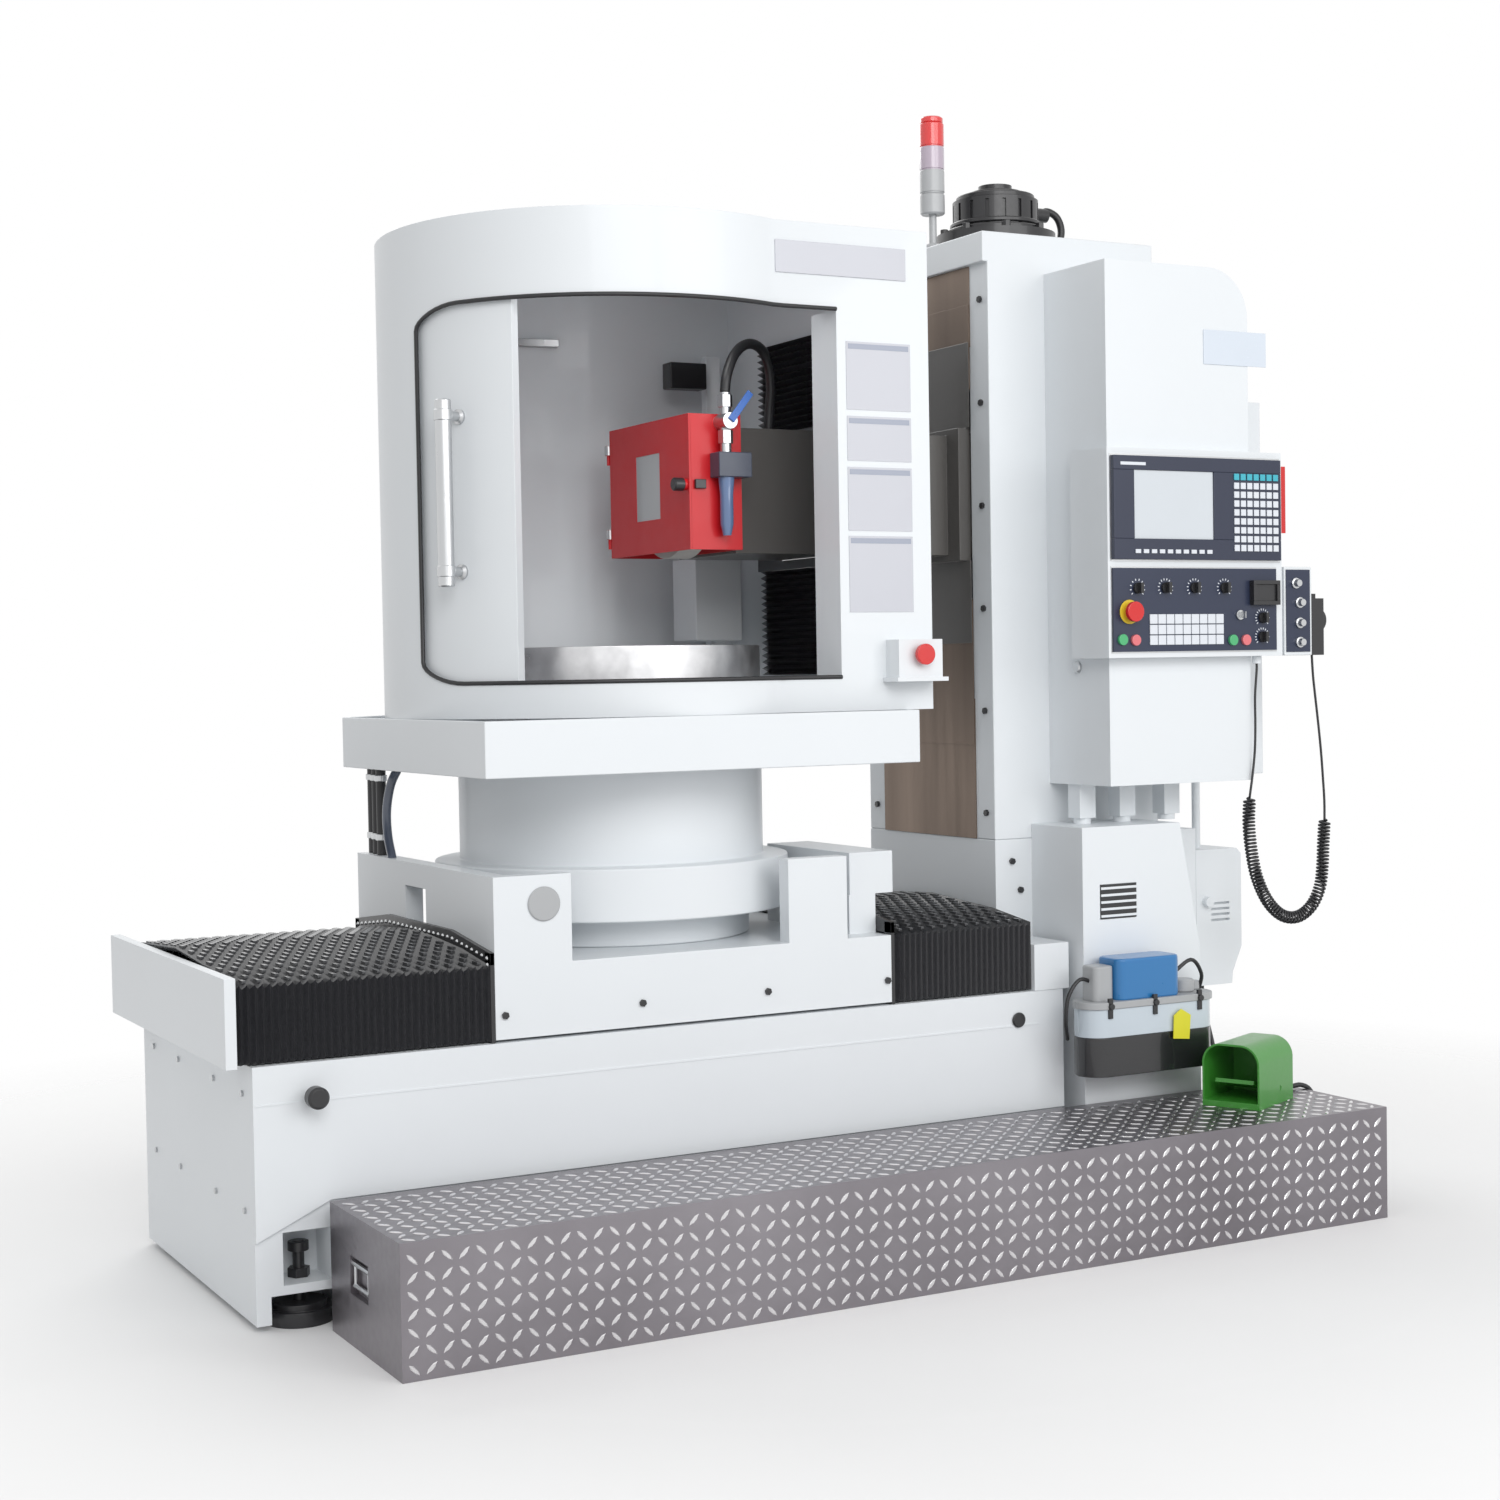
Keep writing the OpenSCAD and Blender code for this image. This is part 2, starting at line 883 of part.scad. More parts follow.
// A hollow block that closes the bellows' channel at the column
module end_block(y, w) translate([end_block_x, y, bed_top]) difference() {
    cube([end_block_l, w, end_block_h]);
    translate([end_plate_t, end_plate_t, -over])
        cube([end_block_l - 2 * end_plate_t, w - 2 * end_plate_t, end_block_h - end_plate_t + over]);
}

// The U section of a bellows at x, pushed in by d
function fold_ring(x, d, w, h, rise, share) = [
    [x, d, 0], [x, d, h - d], [x, w * (1 - share), h + rise * 0.55 - d], [x, w / 2, h + rise - d],
    [x, w * share, h + rise * 0.55 - d], [x, w - d, h - d], [x, w - d, 0],
    [x, w - d - fold_t, 0], [x, w - d - fold_t, h - d - fold_t],
    [x, w * share, h + rise * 0.55 - d - fold_t], [x, w / 2, h + rise - d - fold_t],
    [x, w * (1 - share), h + rise * 0.55 - d - fold_t], [x, d + fold_t, h - d - fold_t],
    [x, d + fold_t, 0]
];

module bellows(l) {
    n = max(2, round(l / fold_pitch));
    rings = [
        for (i = [0 : 2 * n])
            each fold_ring(l * i / (2 * n), i % 2 == 0 ? 0 : fold_d, bellows_w, bellows_side_h,
                bellows_rise, bellows_shoulder_share)
    ];
    m = 2 * n + 1;
    k = 14;
    polyhedron(rings, turned(concat(side_faces(m, k),
        [[for (i = [0 : k - 1]) i], [for (i = [0 : k - 1]) m * k - 1 - i]])));
}

module bellows_frame(x) difference() {
    slab([x, bellows_y - frame_over, bellows_z],
        [frame_t, bellows_w + 2 * frame_over, bellows_side_h + bellows_rise + frame_lip]);
    slab([x - over, bellows_y + frame_lip, bellows_z - over],
        [frame_t + 2 * over, bellows_w - 2 * frame_lip, bellows_side_h - frame_lip]);
}

module bellows_left() color([0.1, 0.1, 0.12]) {
    x0 = end_plate_x + end_return;
    translate([x0, bellows_y, bellows_z]) bellows(saddle_x - frame_t - x0);
    bellows_frame(saddle_x - frame_t);
}

module bellows_right() color([0.1, 0.1, 0.12]) {
    x0 = saddle_x + saddle_l + frame_t;
    translate([x0, bellows_y, bellows_z]) bellows(end_block_x - x0);
    bellows_frame(saddle_x + saddle_l);
}

// Column and base

module louvre(x, y, z, w, h, d, n) {
    pitch = h / n;
    difference() {
        slab([x, y - over, z], [w, d + over, h]);
        for (i = [0 : n - 1])
            translate([x - over, y + d * 0.5, z + (i + 0.25) * pitch]) rotate([30, 0, 0])
                cube([w + 2 * over, d, pitch * louvre_share * 0.5]);
    }
}

module column_base() color("ghostwhite") difference() {
    union() {
        translate([0, col_y + col_w, 0]) rotate([90, 0, 0]) linear_extrude(col_w) polygon([
            [bed_x + bed_l, floor_gap], [base_x1, floor_gap], [base_x1, base_h], [col_x, base_h],
            [col_x, bed_top], [bed_x + bed_l, bed_top]
        ]);
        translate([0, col_y, 0]) rotate([90, 0, 0]) linear_extrude(col_y - shelf_y) polygon([
            [shelf_x0, floor_gap], [shelf_x1_low, floor_gap], [shelf_x1_low, shelf_slope_z],
            [shelf_x1_top, shelf_top], [shelf_x0, shelf_top]
        ]);
    }
    louvre(louvre_x, shelf_y, louvre_z, louvre_w, louvre_h, louvre_d, louvre_n);
}

module column() color("ghostwhite") difference() {
    union() {
        slab([col_x, col_y, col_z], [col_l, col_w, col_h]);
        slab([col_x - cap_lip, col_y, col_top - cap_h], [cap_lip + over, col_w, cap_h]);
    }
    slab([col_x - over, col_y + strip_w, col_z - over],
        [recess_d + over, col_w - 2 * strip_w, col_h - cap_h + over]);
}

module z_motor() color([0.09, 0.09, 0.11]) translate([motor_x, axis_y, col_top]) {
    cylinder(r = motor_flange_r, h = motor_flange_h);
    difference() {
        translate([0, 0, motor_flange_h]) cylinder(r = motor_r, h = motor_h);
        for (i = [0 : motor_rib_n - 1]) rotate([0, 0, 360 * i / motor_rib_n])
            translate([motor_r - motor_rib_d, -motor_rib_w / 2, motor_flange_h + motor_h * 0.1])
                cube([motor_rib_d + over, motor_rib_w, motor_h * 0.8]);
    }
    translate([0, 0, motor_flange_h + motor_h]) cylinder(r = motor_cap_r, h = motor_cap_h);
    rod_x([motor_r - motor_rib_d, 0, motor_flange_h + motor_h * 0.75], plug_r, plug_l);
}

module cover_plate(layer, z) {
    x = col_x - cover_t - layer * cover_pitch;
    slab([x, axis_y - cover_w / 2, z[0]], [cover_t, cover_w, z[1] - z[0]]);
}

module fixed_way_covers() color([0.32, 0.27, 0.23]) {
    cover_plate(0, cover_low_fixed);
    cover_plate(0, cover_high_fixed);
}

module way_cover_middle() color([0.32, 0.27, 0.23]) {
    cover_plate(1, cover_low_middle);
    cover_plate(1, cover_high_middle);
}

// Cabinets

module cabinet_front() difference() {
    square([cab_w, cab_h]);
    translate([cab_w - cab_corner, cab_h - cab_corner]) difference() {
        square([cab_corner + over, cab_corner + over]);
        circle(r = cab_corner);
    }
}

module cabinet() color("ghostwhite") {
    difference() {
        translate([cab_x, cab_y + cab_d, cab_z]) rotate([90, 0, 0]) linear_extrude(cab_d) cabinet_front();
        translate([cab_x + cab_t, cab_y + cab_t, cab_z + cab_t])
            cube([cab_w - cab_corner, cab_d - 2 * cab_t, cab_h - 2 * cab_t]);
        translate([cab_x + cab_t, cab_y + cab_t, cab_z + cab_t])
            cube([cab_w - 2 * cab_t, cab_d - 2 * cab_t, cab_h - cab_corner]);
    }
    for (s = mount_shares) translate([cab_x + cab_w * s, cab_y + cab_d * mount_y_share, 0]) {
        slab([-mount_w / 2, -mount_w / 2, shelf_top + mount_pad_h],
            [mount_w, mount_w, mount_h - mount_pad_h]);
        translate([0, 0, shelf_top]) cylinder(r = mount_pad_r, h = mount_pad_h);
    }
}

module rear_cabinet() color("ghostwhite") {
    difference() {
        slab([rear_x, col_y, rear_z], [rear_w, rear_d, rear_h]);
        slab([rear_x + cab_t, col_y + cab_t, rear_z + cab_t],
            [rear_w - 2 * cab_t, rear_d - 2 * cab_t, rear_h - 2 * cab_t]);
    }
    rod_x([rear_x + rear_w - cab_t / 2, switch_y, switch_z], switch_collar_r, switch_collar_l + cab_t / 2);
}

module panel_housing() color("ghostwhite") difference() {
    slab([panel_x, panel_y, panel_z], [panel_w, panel_d, panel_h]);
    slab([cab_x, cab_y, panel_z - over], [cab_w, cab_d, panel_h + 2 * over]);
    slab([panel_x + panel_wall, panel_y + panel_wall + estop_stem_l + face_solid, panel_z + panel_wall],
        [cab_x - panel_x - 2 * panel_wall, panel_d - estop_stem_l - face_solid - back_solid - 2 * panel_wall,
            panel_h - 2 * panel_wall]);
    control_bores(estop_stem_l + bore_spare, face_y);
}

module control_bores(depth, y) {
    for (p = knob_places)
        rod_y([op_x + p[0], y - over, op_z + p[1]], knob_stem_r + knob_bore_gap, depth + over);
    rod_y([op_x + key_place[0], y - over, op_z + key_place[1]], knob_stem_r + knob_bore_gap, depth + over);
    for (p = button_places)
        rod_y([op_x + p[0], y - over, op_z + p[1]], button_r + knob_bore_gap, depth + over);
    rod_y([op_x + estop_in, y - over, op_z + estop_up], estop_stem_r + knob_bore_gap, depth + over);
}

module panel_units() {
    color([0.2, 0.23, 0.33]) {
        difference() {
            slab([cnc_x, face_y - unit_t, cnc_z], [cnc_w, unit_t, cnc_h]);
            slab([screen_x, face_y - unit_t - over, screen_z], [screen_w, screen_d + over, screen_h]);
        }
        for (i = [0 : key_cols - 1], j = [0 : key_rows - 1])
            slab([keys_x + i * key_pitch, face_y - unit_t - key_h, keys_z + j * key_pitch],
                [key_w, key_h, key_w]);
        for (i = [0 : 9])
            slab([screen_x + i * screen_w / 10, face_y - unit_t - key_h, softkey_z],
                [key_w, key_h, softkey_h]);
        difference() {
            union() {
                slab([op_x, plate_y, op_z], [op_w, op_t, op_h]);
                slab([counter_x, plate_y - counter_t, counter_z], [counter_w, counter_t, counter_h]);
                for (i = [0 : pad_key_cols - 1], j = [0 : pad_key_rows - 1])
                    slab([pad_keys_x + i * pad_key_pitch, plate_y - key_h, pad_keys_z + j * pad_key_pitch],
                        [pad_key_w, key_h, pad_key_w]);
                rod_y([op_x + estop_in, plate_y - collar_h, op_z + estop_up], collar_r, collar_h);
            }
            slab([counter_x + counter_rim, plate_y - counter_t - over, counter_z + counter_rim],
                [counter_w - 2 * counter_rim, screen_d + over, counter_h - 2 * counter_rim]);
            control_bores(op_t + collar_h + 2 * over, plate_y - collar_h);
        }
    }
}

module side_box() color("ghostwhite") {
    slab([side_x, panel_y, panel_z], [side_w, side_d, side_h]);
    slab([panel_x + panel_w, panel_y + bracket_t, panel_z + bracket_t],
        [side_gap, side_d - 2 * bracket_t, side_h - 2 * bracket_t]);
    rod_z([panel_x + plug_in, cord_y, panel_z - plug_low], plug_low_r, plug_low);
}

module pendant() color([0.08, 0.08, 0.09]) {
    x = side_x + side_w;
    difference() {
        slab([x, pendant_y, pendant_z], [pendant_w, pendant_d, pendant_h]);
        rod_x([x + pendant_w - dial_stem_l, pendant_y + pendant_d / 2, pendant_z + pendant_h * 0.62],
            knob_stem_r + knob_bore_gap, dial_stem_l + over);
    }
    slab([x + pendant_w * 0.3, pendant_y + pendant_d * 0.2, pendant_z + pendant_h],
        [pendant_w * 0.4, pendant_d * 0.6, hook_h]);
}

module pendant_dial() color([0.1, 0.1, 0.1]) {
    x = side_x + side_w + pendant_w;
    translate([0, pendant_y + pendant_d / 2, pendant_z + pendant_h * 0.62]) {
        rod_x([x - dial_stem_in, 0, 0], knob_stem_r, dial_stem_l);
        rod_x([x + gap, 0, 0], dial_r, dial_t);
        rod_x([x + gap + dial_t, dial_r * 0.6, 0], knob_stem_r, crank_l);
    }
}

module selector(p) color([0.1, 0.1, 0.1]) translate([op_x + p[0], plate_y, op_z + p[1]]) {
    rod_y([0, -gap - knob_root, 0], knob_stem_r, knob_stem_l + gap + knob_root);
    rod_y([0, -gap - knob_l * 0.35, 0], knob_r, knob_l * 0.35);
    slab([-knob_r * 0.32, -gap - knob_l, -knob_r * 0.95], [knob_r * 0.64, knob_l * 0.7, knob_r * 1.9]);
}

module key_switch() color("silver") translate([op_x + key_place[0], plate_y, op_z + key_place[1]]) {
    rod_y([0, -gap - knob_root, 0], knob_stem_r, knob_stem_l + gap + knob_root);
    rod_y([0, -gap - key_ring_t, 0], knob_r * 0.9, key_ring_t);
    slab([-key_t / 2, -gap - key_l, -knob_r * 0.6], [key_t, key_blade_l, knob_r * 1.2]);
}

module button(p, c) color(c) translate([op_x + p[0], plate_y, op_z + p[1]]) {
    rod_y([0, -button_travel - button_proud, 0], button_r, button_l + button_proud);
}

module estop_knob() {
    color("red") {
        rod_y([0, -estop_travel - estop_h, 0], estop_r, estop_h * 0.7);
        rod_y([0, -estop_travel - estop_h * 0.3, 0], estop_r * 0.7, estop_h * 0.3);
        rod_y([0, -estop_travel, 0], estop_stem_r, estop_stem_l);
    }
}

module panel_estop() translate([op_x + estop_in, plate_y - collar_h - gap, op_z + estop_up]) estop_knob();

module main_switch() color("red") translate([rear_x + rear_w + switch_collar_l + gap, switch_y, switch_z]) {
    rod_x([0, 0, 0], switch_r, switch_t);
    slab([switch_t - over, -switch_grip_w / 2, -switch_grip_l / 2],
        [switch_grip_h, switch_grip_w, switch_grip_l]);
}

module signal_tower() translate([tower_x, tower_y, col_top]) {
    color("silver") {
        cylinder(r = tower_foot_r, h = tower_foot_h);
        cylinder(r = tower_pole_r, h = tower_foot_h + tower_pole_h);
        translate([0, 0, tower_foot_h + tower_pole_h]) cylinder(r = tower_r, h = tower_base_h);
        for (i = [0 : tower_lights - 1])
            translate([0, 0, tower_stack_z + i * (tower_light_h + tower_joint_h)]) {
            cylinder(r = tower_joint_r, h = tower_joint_h);
            translate([0, 0, tower_joint_h]) cylinder(r = tower_r, h = tower_light_h);
        }
        translate([0, 0, tower_stack_z + tower_lights * (tower_light_h + tower_joint_h)])
            cylinder(r = tower_r * 0.94, h = tower_cap_h);
    }
}

module junction_box() color("ghostwhite") {
    difference() {
        translate([box_x, box_y + box_d, box_z]) rotate([90, 0, 0]) linear_extrude(box_d) polygon([
            [0, 0], [box_w * 0.78, 0], [box_w * 0.8, box_foot], [box_w, box_knee],
            [box_w, box_h - box_chamfer],
            [box_w - box_chamfer, box_h], [0, box_h]
        ]);
        for (i = [0 : box_slot_n - 1])
            slab([box_x + box_slot_x, box_y - over, box_z + box_slot_z + i * box_slot_pitch],
                [box_slot_w, box_slot_d, box_slot_h]);
    }
    rod_y([box_x + box_slot_x - box_knob_in, box_y - box_knob_l, box_z + box_slot_z + box_knob_up],
        box_knob_r, box_knob_l);
    color([0.1, 0.1, 0.1])
        rod_z([box_x + conduit_in, box_y + box_d * 0.4, box_z + box_h], conduit_r, cab_z - box_z - box_h);
}

module lubricator() {
    translate([lube_x, shelf_y - lube_bracket_t - lube_d, lube_z]) {
        color([0.1, 0.1, 0.1]) {
            slab([lube_pump_x, lube_d, -lube_bracket_low],
                [lube_pump_l + lube_grey_l, lube_bracket_t, lube_tank_h + lube_clear_h]);
            tank_slice(0, lube_tank_h);
        }
        color([0.75, 0.8, 0.85, 0.6]) tank_slice(lube_tank_h, lube_clear_h);
        color([0.75, 0.76, 0.78]) tank_slice(lube_tank_h + lube_clear_h, lube_lid_h);
        translate([lube_pump_x, 0, lube_tank_h + lube_clear_h + lube_lid_h]) {
            color([0.13, 0.42, 0.72]) translate([0, (lube_d - lube_pump_d) / 2, 0])
                rounded_block([lube_pump_l, lube_pump_d, lube_pump_h], lube_pump_round);
            color([0.35, 0.36, 0.38]) translate([-lube_grey_l, lube_d * 0.2, 0])
                rounded_block([lube_grey_l, lube_d * 0.6, lube_pump_h * 0.85], lube_grey_round);
        }
    }
}

module tank_slice(z, h) translate([0, 0, z]) linear_extrude(h) tank_plan();
module tank_plan() {
    r = lube_d / 2;
    translate([r, 0]) square([lube_l - 2 * r, lube_d]);
    translate([r, r]) circle(r = r);
    translate([lube_l - r, r]) circle(r = r);
}

// A block with its four upright edges rounded
module rounded_block(size, r) linear_extrude(size[2]) {
    translate([r, 0]) square([size[0] - 2 * r, size[1]]);
    translate([0, r]) square([size[0], size[1] - 2 * r]);
    for (x = [r, size[0] - r], y = [r, size[1] - r]) translate([x, y]) circle(r = r);
}

// Step and pedal

module step_box() color("silver") difference() {
    union() {
        difference() {
            slab([step_x, step_y, 0], [step_l, step_d, step_h]);
            slab([step_x + step_t, step_y + step_t, -over],
                [step_l - 2 * step_t, step_d - 2 * step_t, step_h - step_t + over]);
        }
        slab([step_x, cup_y - cup_w / 2, cup_z - cup_h / 2], [cup_d, cup_w, cup_h]);
    }
    slab([step_x - over, cup_y - cup_w / 2 + cup_t, cup_z - cup_h / 2 + cup_t],
        [cup_d - cup_t + over, cup_w - 2 * cup_t, cup_h - 2 * cup_t]);
    rod_y([bail_x, cup_y - cup_w / 2 - over, bail_z], bail_r + bail_gap, cup_w + 2 * over);
}

module step_handle() color("silver") {
    rod_y([bail_x, cup_y - cup_w / 2, bail_z], bail_r, cup_w);
    rod_y([bail_x, cup_y - bail_w / 2 - bail_r, bail_z - bail_h], bail_r, bail_w + 2 * bail_r);
    for (s = [-1, 1]) rod_z([bail_x, cup_y + s * bail_w / 2, bail_z - bail_h], bail_r * 0.75, bail_h);
}

module pedal_frame() translate([pedal_x, pedal_y, step_h]) rotate([0, 0, pedal_turn]) children();

module pedal_arch(l, w, h, r) rotate([90, 0, 90]) linear_extrude(l) {
    translate([-w / 2, 0]) square([w, h - r]);
    translate([-w / 2 + r, 0]) square([w - 2 * r, h]);
    for (s = [-1, 1]) translate([s * (w / 2 - r), h - r]) circle(r = r);
}

module pedal_hood() color([0.2, 0.5, 0.16]) pedal_frame() difference() {
    union() {
        pedal_arch(pedal_l * 0.86, pedal_w, pedal_h, pedal_nose);
        translate([pedal_l * 0.8, 0, 0])
            pedal_arch(pedal_l * 0.2, pedal_w * 0.7, pedal_h * 0.55, pedal_nose * 0.4);
    }
    translate([-over, 0, pedal_foot_t])
        pedal_arch(pedal_l * 0.74, pedal_w - 2 * pedal_t,
            pedal_h - pedal_foot_t - pedal_t, pedal_nose - pedal_t);
    rod_y([plate_pin_in + plate_l * 0.62, -pedal_w, plate_pin_z], plate_pin_r + run_fit, 2 * pedal_w);
}

module pedal_plate() color([0.16, 0.42, 0.14]) pedal_frame() {
    rod_y([plate_pin_in + plate_l * 0.62, -pedal_w / 2 + plate_pin_short, plate_pin_z],
        plate_pin_r, pedal_w - 2 * plate_pin_short);
    translate([plate_pin_in + plate_l * 0.62, 0, plate_pin_z]) rotate([0, plate_tilt, 0])
        slab([-plate_l * 0.8, -plate_w / 2, -plate_t / 2], [plate_l, plate_w, plate_t]);
}

// Cords

function in_bed(p) = [bed_x + p[0], bed_y + p[1], p[2]];
function in_cord(p) = [bed_x + p[0], cord_y, p[1]];
cord_lead = spline([for (p = pendant_lead) in_cord(p)], 2);
cord_tail = spline([for (p = pendant_tail) in_cord(p)], 2);
cord_line = spline([for (p = pendant_curve) in_cord(p)], 24);
cord_steps = curl_n * curl_rings;
function run_to(p, i) = i == 0 ? 0 : norm(p[i] - p[i - 1]);
cord_run = [
    for (i = 0, s = 0; i < len(cord_line); i = i + 1,
        s = s + (i < len(cord_line) ? run_to(cord_line, i) : 0)) s
];
cord_long = cord_run[len(cord_run) - 1];
function line_at(s) = let (c = lookup_index(s, 0, len(cord_run) - 1), d = cord_run[c + 1] - cord_run[c])
    cord_line[c] + (cord_line[c + 1] - cord_line[c]) * (s - cord_run[c]) / d;
function lookup_index(s, a, b) = b - a <= 1 ? a : let (m = floor((a + b) / 2))
    s < cord_run[m] ? lookup_index(s, a, m) : lookup_index(s, m, b);
function curl_grow(i) = min(1, i / curl_rings, (cord_steps - i) / curl_rings);
function curl_dir(i) = let (
    s = cord_long * i / cord_steps, e = cord_long / cord_steps,
    t = unit_v(line_at(min(cord_long, s + e)) - line_at(max(0, s - e))),
    n = cross(t, [0, 1, 0]), a = 360 * i / curl_rings) cos(a) * n + sin(a) * [0, 1, 0];
cord_curls = [
    for (i = [0 : cord_steps])
        line_at(cord_long * i / cord_steps) + curl_r * curl_grow(i) * curl_dir(i)
];
cord_gap = min([
    for (i = [0 : cord_steps - 12]) for (j = [5 : 11]) norm(cord_curls[i] - cord_curls[i + j])
]) - 2 * cord_r;
echo(least_gap_of_curly_cord = cord_gap);

module pendant_cord() color([0.1, 0.1, 0.1]) {
    path = concat([for (i = [0 : len(cord_lead) - 2]) cord_lead[i]], cord_curls,
        [for (i = [1 : len(cord_tail) - 1]) cord_tail[i]]);
    a = len(cord_lead) - 1;
    m = len(path);
    rings = [
        for (i = [0 : m - 1])
            let (t = tangent(path, i), d = curl_dir(max(0, min(cord_steps, i - a))),
                e1 = unit_v(d - t * (d * t)), e2 = cross(t, e1))
            each ring_at(path[i], e1, e2, cord_r, cord_sides)
    ];
    polyhedron(rings, concat(side_faces(m, cord_sides), end_faces(m, cord_sides)));
}

module pedal_cord() color([0.08, 0.08, 0.08])
    tube(spline([for (p = pedal_route) in_bed(p)], 3), pedal_cord_r, 10, [0.35, 0.25, 0.9]);

// Saddle and rotary table

module saddle() color("ghostwhite") {
    slab([saddle_x, saddle_y, saddle_z], [saddle_l, saddle_w, saddle_t]);
    difference() {
        slab([saddle_x, saddle_y, slab_top], [post_t, saddle_w, post_h]);
        slab([saddle_x - over, saddle_y + window_y, slab_top + window_z],
            [post_t + 2 * over, window_w, window_h]);
    }
    slab([saddle_x + post_t, saddle_y, slab_top], [post_left_w - post_t, post_t, post_h]);
    slab([saddle_x + post_right_at, saddle_y, slab_top], [post_right_w, post_t, post_h]);
    slab([saddle_x + saddle_l - deck_l + deck_over, saddle_y + post_t + deck_gap, post_top - deck_h],
        [deck_l, deck_d, deck_h]);
    slab([saddle_x + saddle_l - deck_leg, saddle_y + post_t + deck_gap, slab_top],
        [deck_leg, deck_d, post_h - deck_h]);
    for (s = [-1, 1], x = [block_l / 2, saddle_l - block_l * 1.5])
        difference() {
            slab([saddle_x + x, bed_mid + s * bed_rail_dy - block_w / 2, channel_z + saddle_gap],
                [block_l, block_w, saddle_z - channel_z - saddle_gap]);
            slab([saddle_x + x - over, bed_mid + s * bed_rail_dy - rail_w / 2 - gap, channel_z],
                [block_l + 2 * over, rail_w + 2 * gap, rail_h + gap]);
        }
}

module rotary_base() color("ghostwhite") translate([axis_x, axis_y, 0]) {
    difference() {
        union() {
            translate([0, 0, slab_top]) cylinder(r = chuck_r * 0.9, h = plinth_h);
            translate([0, 0, flange_z]) cylinder(r = flange_r, h = flange_h);
            translate([0, 0, flange_z + flange_h]) cylinder(r = drum_r, h = drum_top - flange_z - flange_h);
            translate([0, 0, drum_top]) cylinder(r = neck_r, h = neck_h);
        }
        translate([0, 0, slab_top + bearing_h])
            cylinder(r = drum_r - bore_wall, h = drum_top - slab_top - 2 * bearing_h);
        translate([0, 0, slab_top + bearing_h / 2]) cylinder(r = bearing_r, h = drum_top + neck_h);
    }
    for (z = [slab_top + bearing_h / 2, drum_top + neck_h - bearing_h])
        translate([0, 0, z]) difference() {
            cylinder(r = bearing_r, h = bearing_h);
            translate([0, 0, -over]) cylinder(r = shaft_r + run_fit, h = bearing_h + 2 * over);
        }
}

module table_spindle() color("silver") translate([axis_x, axis_y, 0]) {
    translate([0, 0, slab_top + bearing_h / 2 + gap])
        cylinder(r = shaft_r, h = chuck_z - slab_top - bearing_h / 2 - gap);
    translate([0, 0, slab_top + 3 * bearing_h])
        cylinder(r = bearing_r * 1.9, h = drum_top - slab_top - 5 * bearing_h);
    translate([0, 0, drum_top + neck_h + gap]) cylinder(r = hub_r, h = chuck_z - drum_top - neck_h - gap);
}

module chuck() color([0.62, 0.63, 0.65]) translate([axis_x, axis_y, chuck_z]) difference() {
    cylinder(r = chuck_r, h = chuck_t);
    for (i = [1 : 9]) translate([0, 0, chuck_t - ring_groove]) difference() {
        cylinder(r = chuck_r * i / 10, h = ring_groove + over);
        translate([0, 0, -over]) cylinder(r = chuck_r * i / 10 - ring_w / 4, h = ring_groove + 3 * over);
    }
    translate([0, 0, -over]) difference() {
        cylinder(r = chuck_r - ring_w, h = chuck_t * 0.3 + over);
        cylinder(r = hub_r + ring_w, h = chuck_t);
    }
}

module tray_plan(d) {
    c = 2 * tray_half * tray_cut_share / 2;
    polygon([
        [-tray_half + d, tray_front - axis_y + d], [tray_half - d, tray_front - axis_y + d],
        [tray_half - d, tray_back - axis_y - c], [tray_half - c, tray_back - axis_y - d],
        [-tray_half + c, tray_back - axis_y - d], [-tray_half + d, tray_back - axis_y - c]
    ]);
}

module tray() color("ghostwhite") translate([axis_x, axis_y, tray_z]) difference() {
    union() {
        difference() {
            linear_extrude(tray_h) tray_plan(0);
            translate([0, 0, sheet]) linear_extrude(tray_h) tray_plan(sheet);
        }
        cylinder(r = neck_r + 2 * sheet, h = neck_h - neck_collar_low);
    }
    translate([0, 0, -over]) cylinder(r = neck_r + screw_gap, h = tray_h + neck_h);
}

// Hood

module hood_plan(d) {
    circle(r = hood_r - d, $fn = 96);
    translate([0, -flat_half + d]) square([hood_right - d, 2 * (flat_half - d)]);
}

module doorway() translate([-doorway_left, 0, doorway_z]) rotate([90, 0, 0])
    linear_extrude(hood_r + doorway_deep) {
    w = doorway_left + doorway_right;
    translate([doorway_r, 0]) square([w - doorway_r, doorway_h]);
    translate([0, doorway_r]) square([doorway_r, doorway_h - 2 * doorway_r]);
    for (z = [doorway_r, doorway_h - doorway_r]) translate([doorway_r, z]) circle(r = doorway_r);
}

module hood() color("ghostwhite") translate([axis_x, axis_y, 0]) {
    difference() {
        translate([0, 0, hood_z]) linear_extrude(hood_h) hood_plan(0);
        translate([0, 0, hood_z - over]) linear_extrude(hood_h - sheet + over) hood_plan(sheet);
        doorway();
        slab([hood_right - sheet - over, -slot_w / 2, slot_z], [sheet + 2 * over, slot_w, slot_h]);
    }
    slab([doorway_right, -flat_half + sheet, doorway_z], [sheet, jamb_d, doorway_h]);
}

module ring_part(r0, r1, h, a0, a1) rotate([0, 0, a0]) rotate_extrude(angle = a1, $fn = 96)
    translate([r0, 0]) square([r1 - r0, h]);

module door_rails() color("silver") translate([axis_x, axis_y, 0]) {
    translate([0, 0, door_z - rail_ring_h]) rail_ring();
    translate([0, 0, door_z + door_h + gap]) rail_ring();
}

// A curved channel that the edge of the door runs against
module rail_ring() {
    ring_part(hood_r - sheet - rail_ring_w - door_t, hood_r - sheet,
        rail_ring_h - gap, rail_start, rail_arc);
}

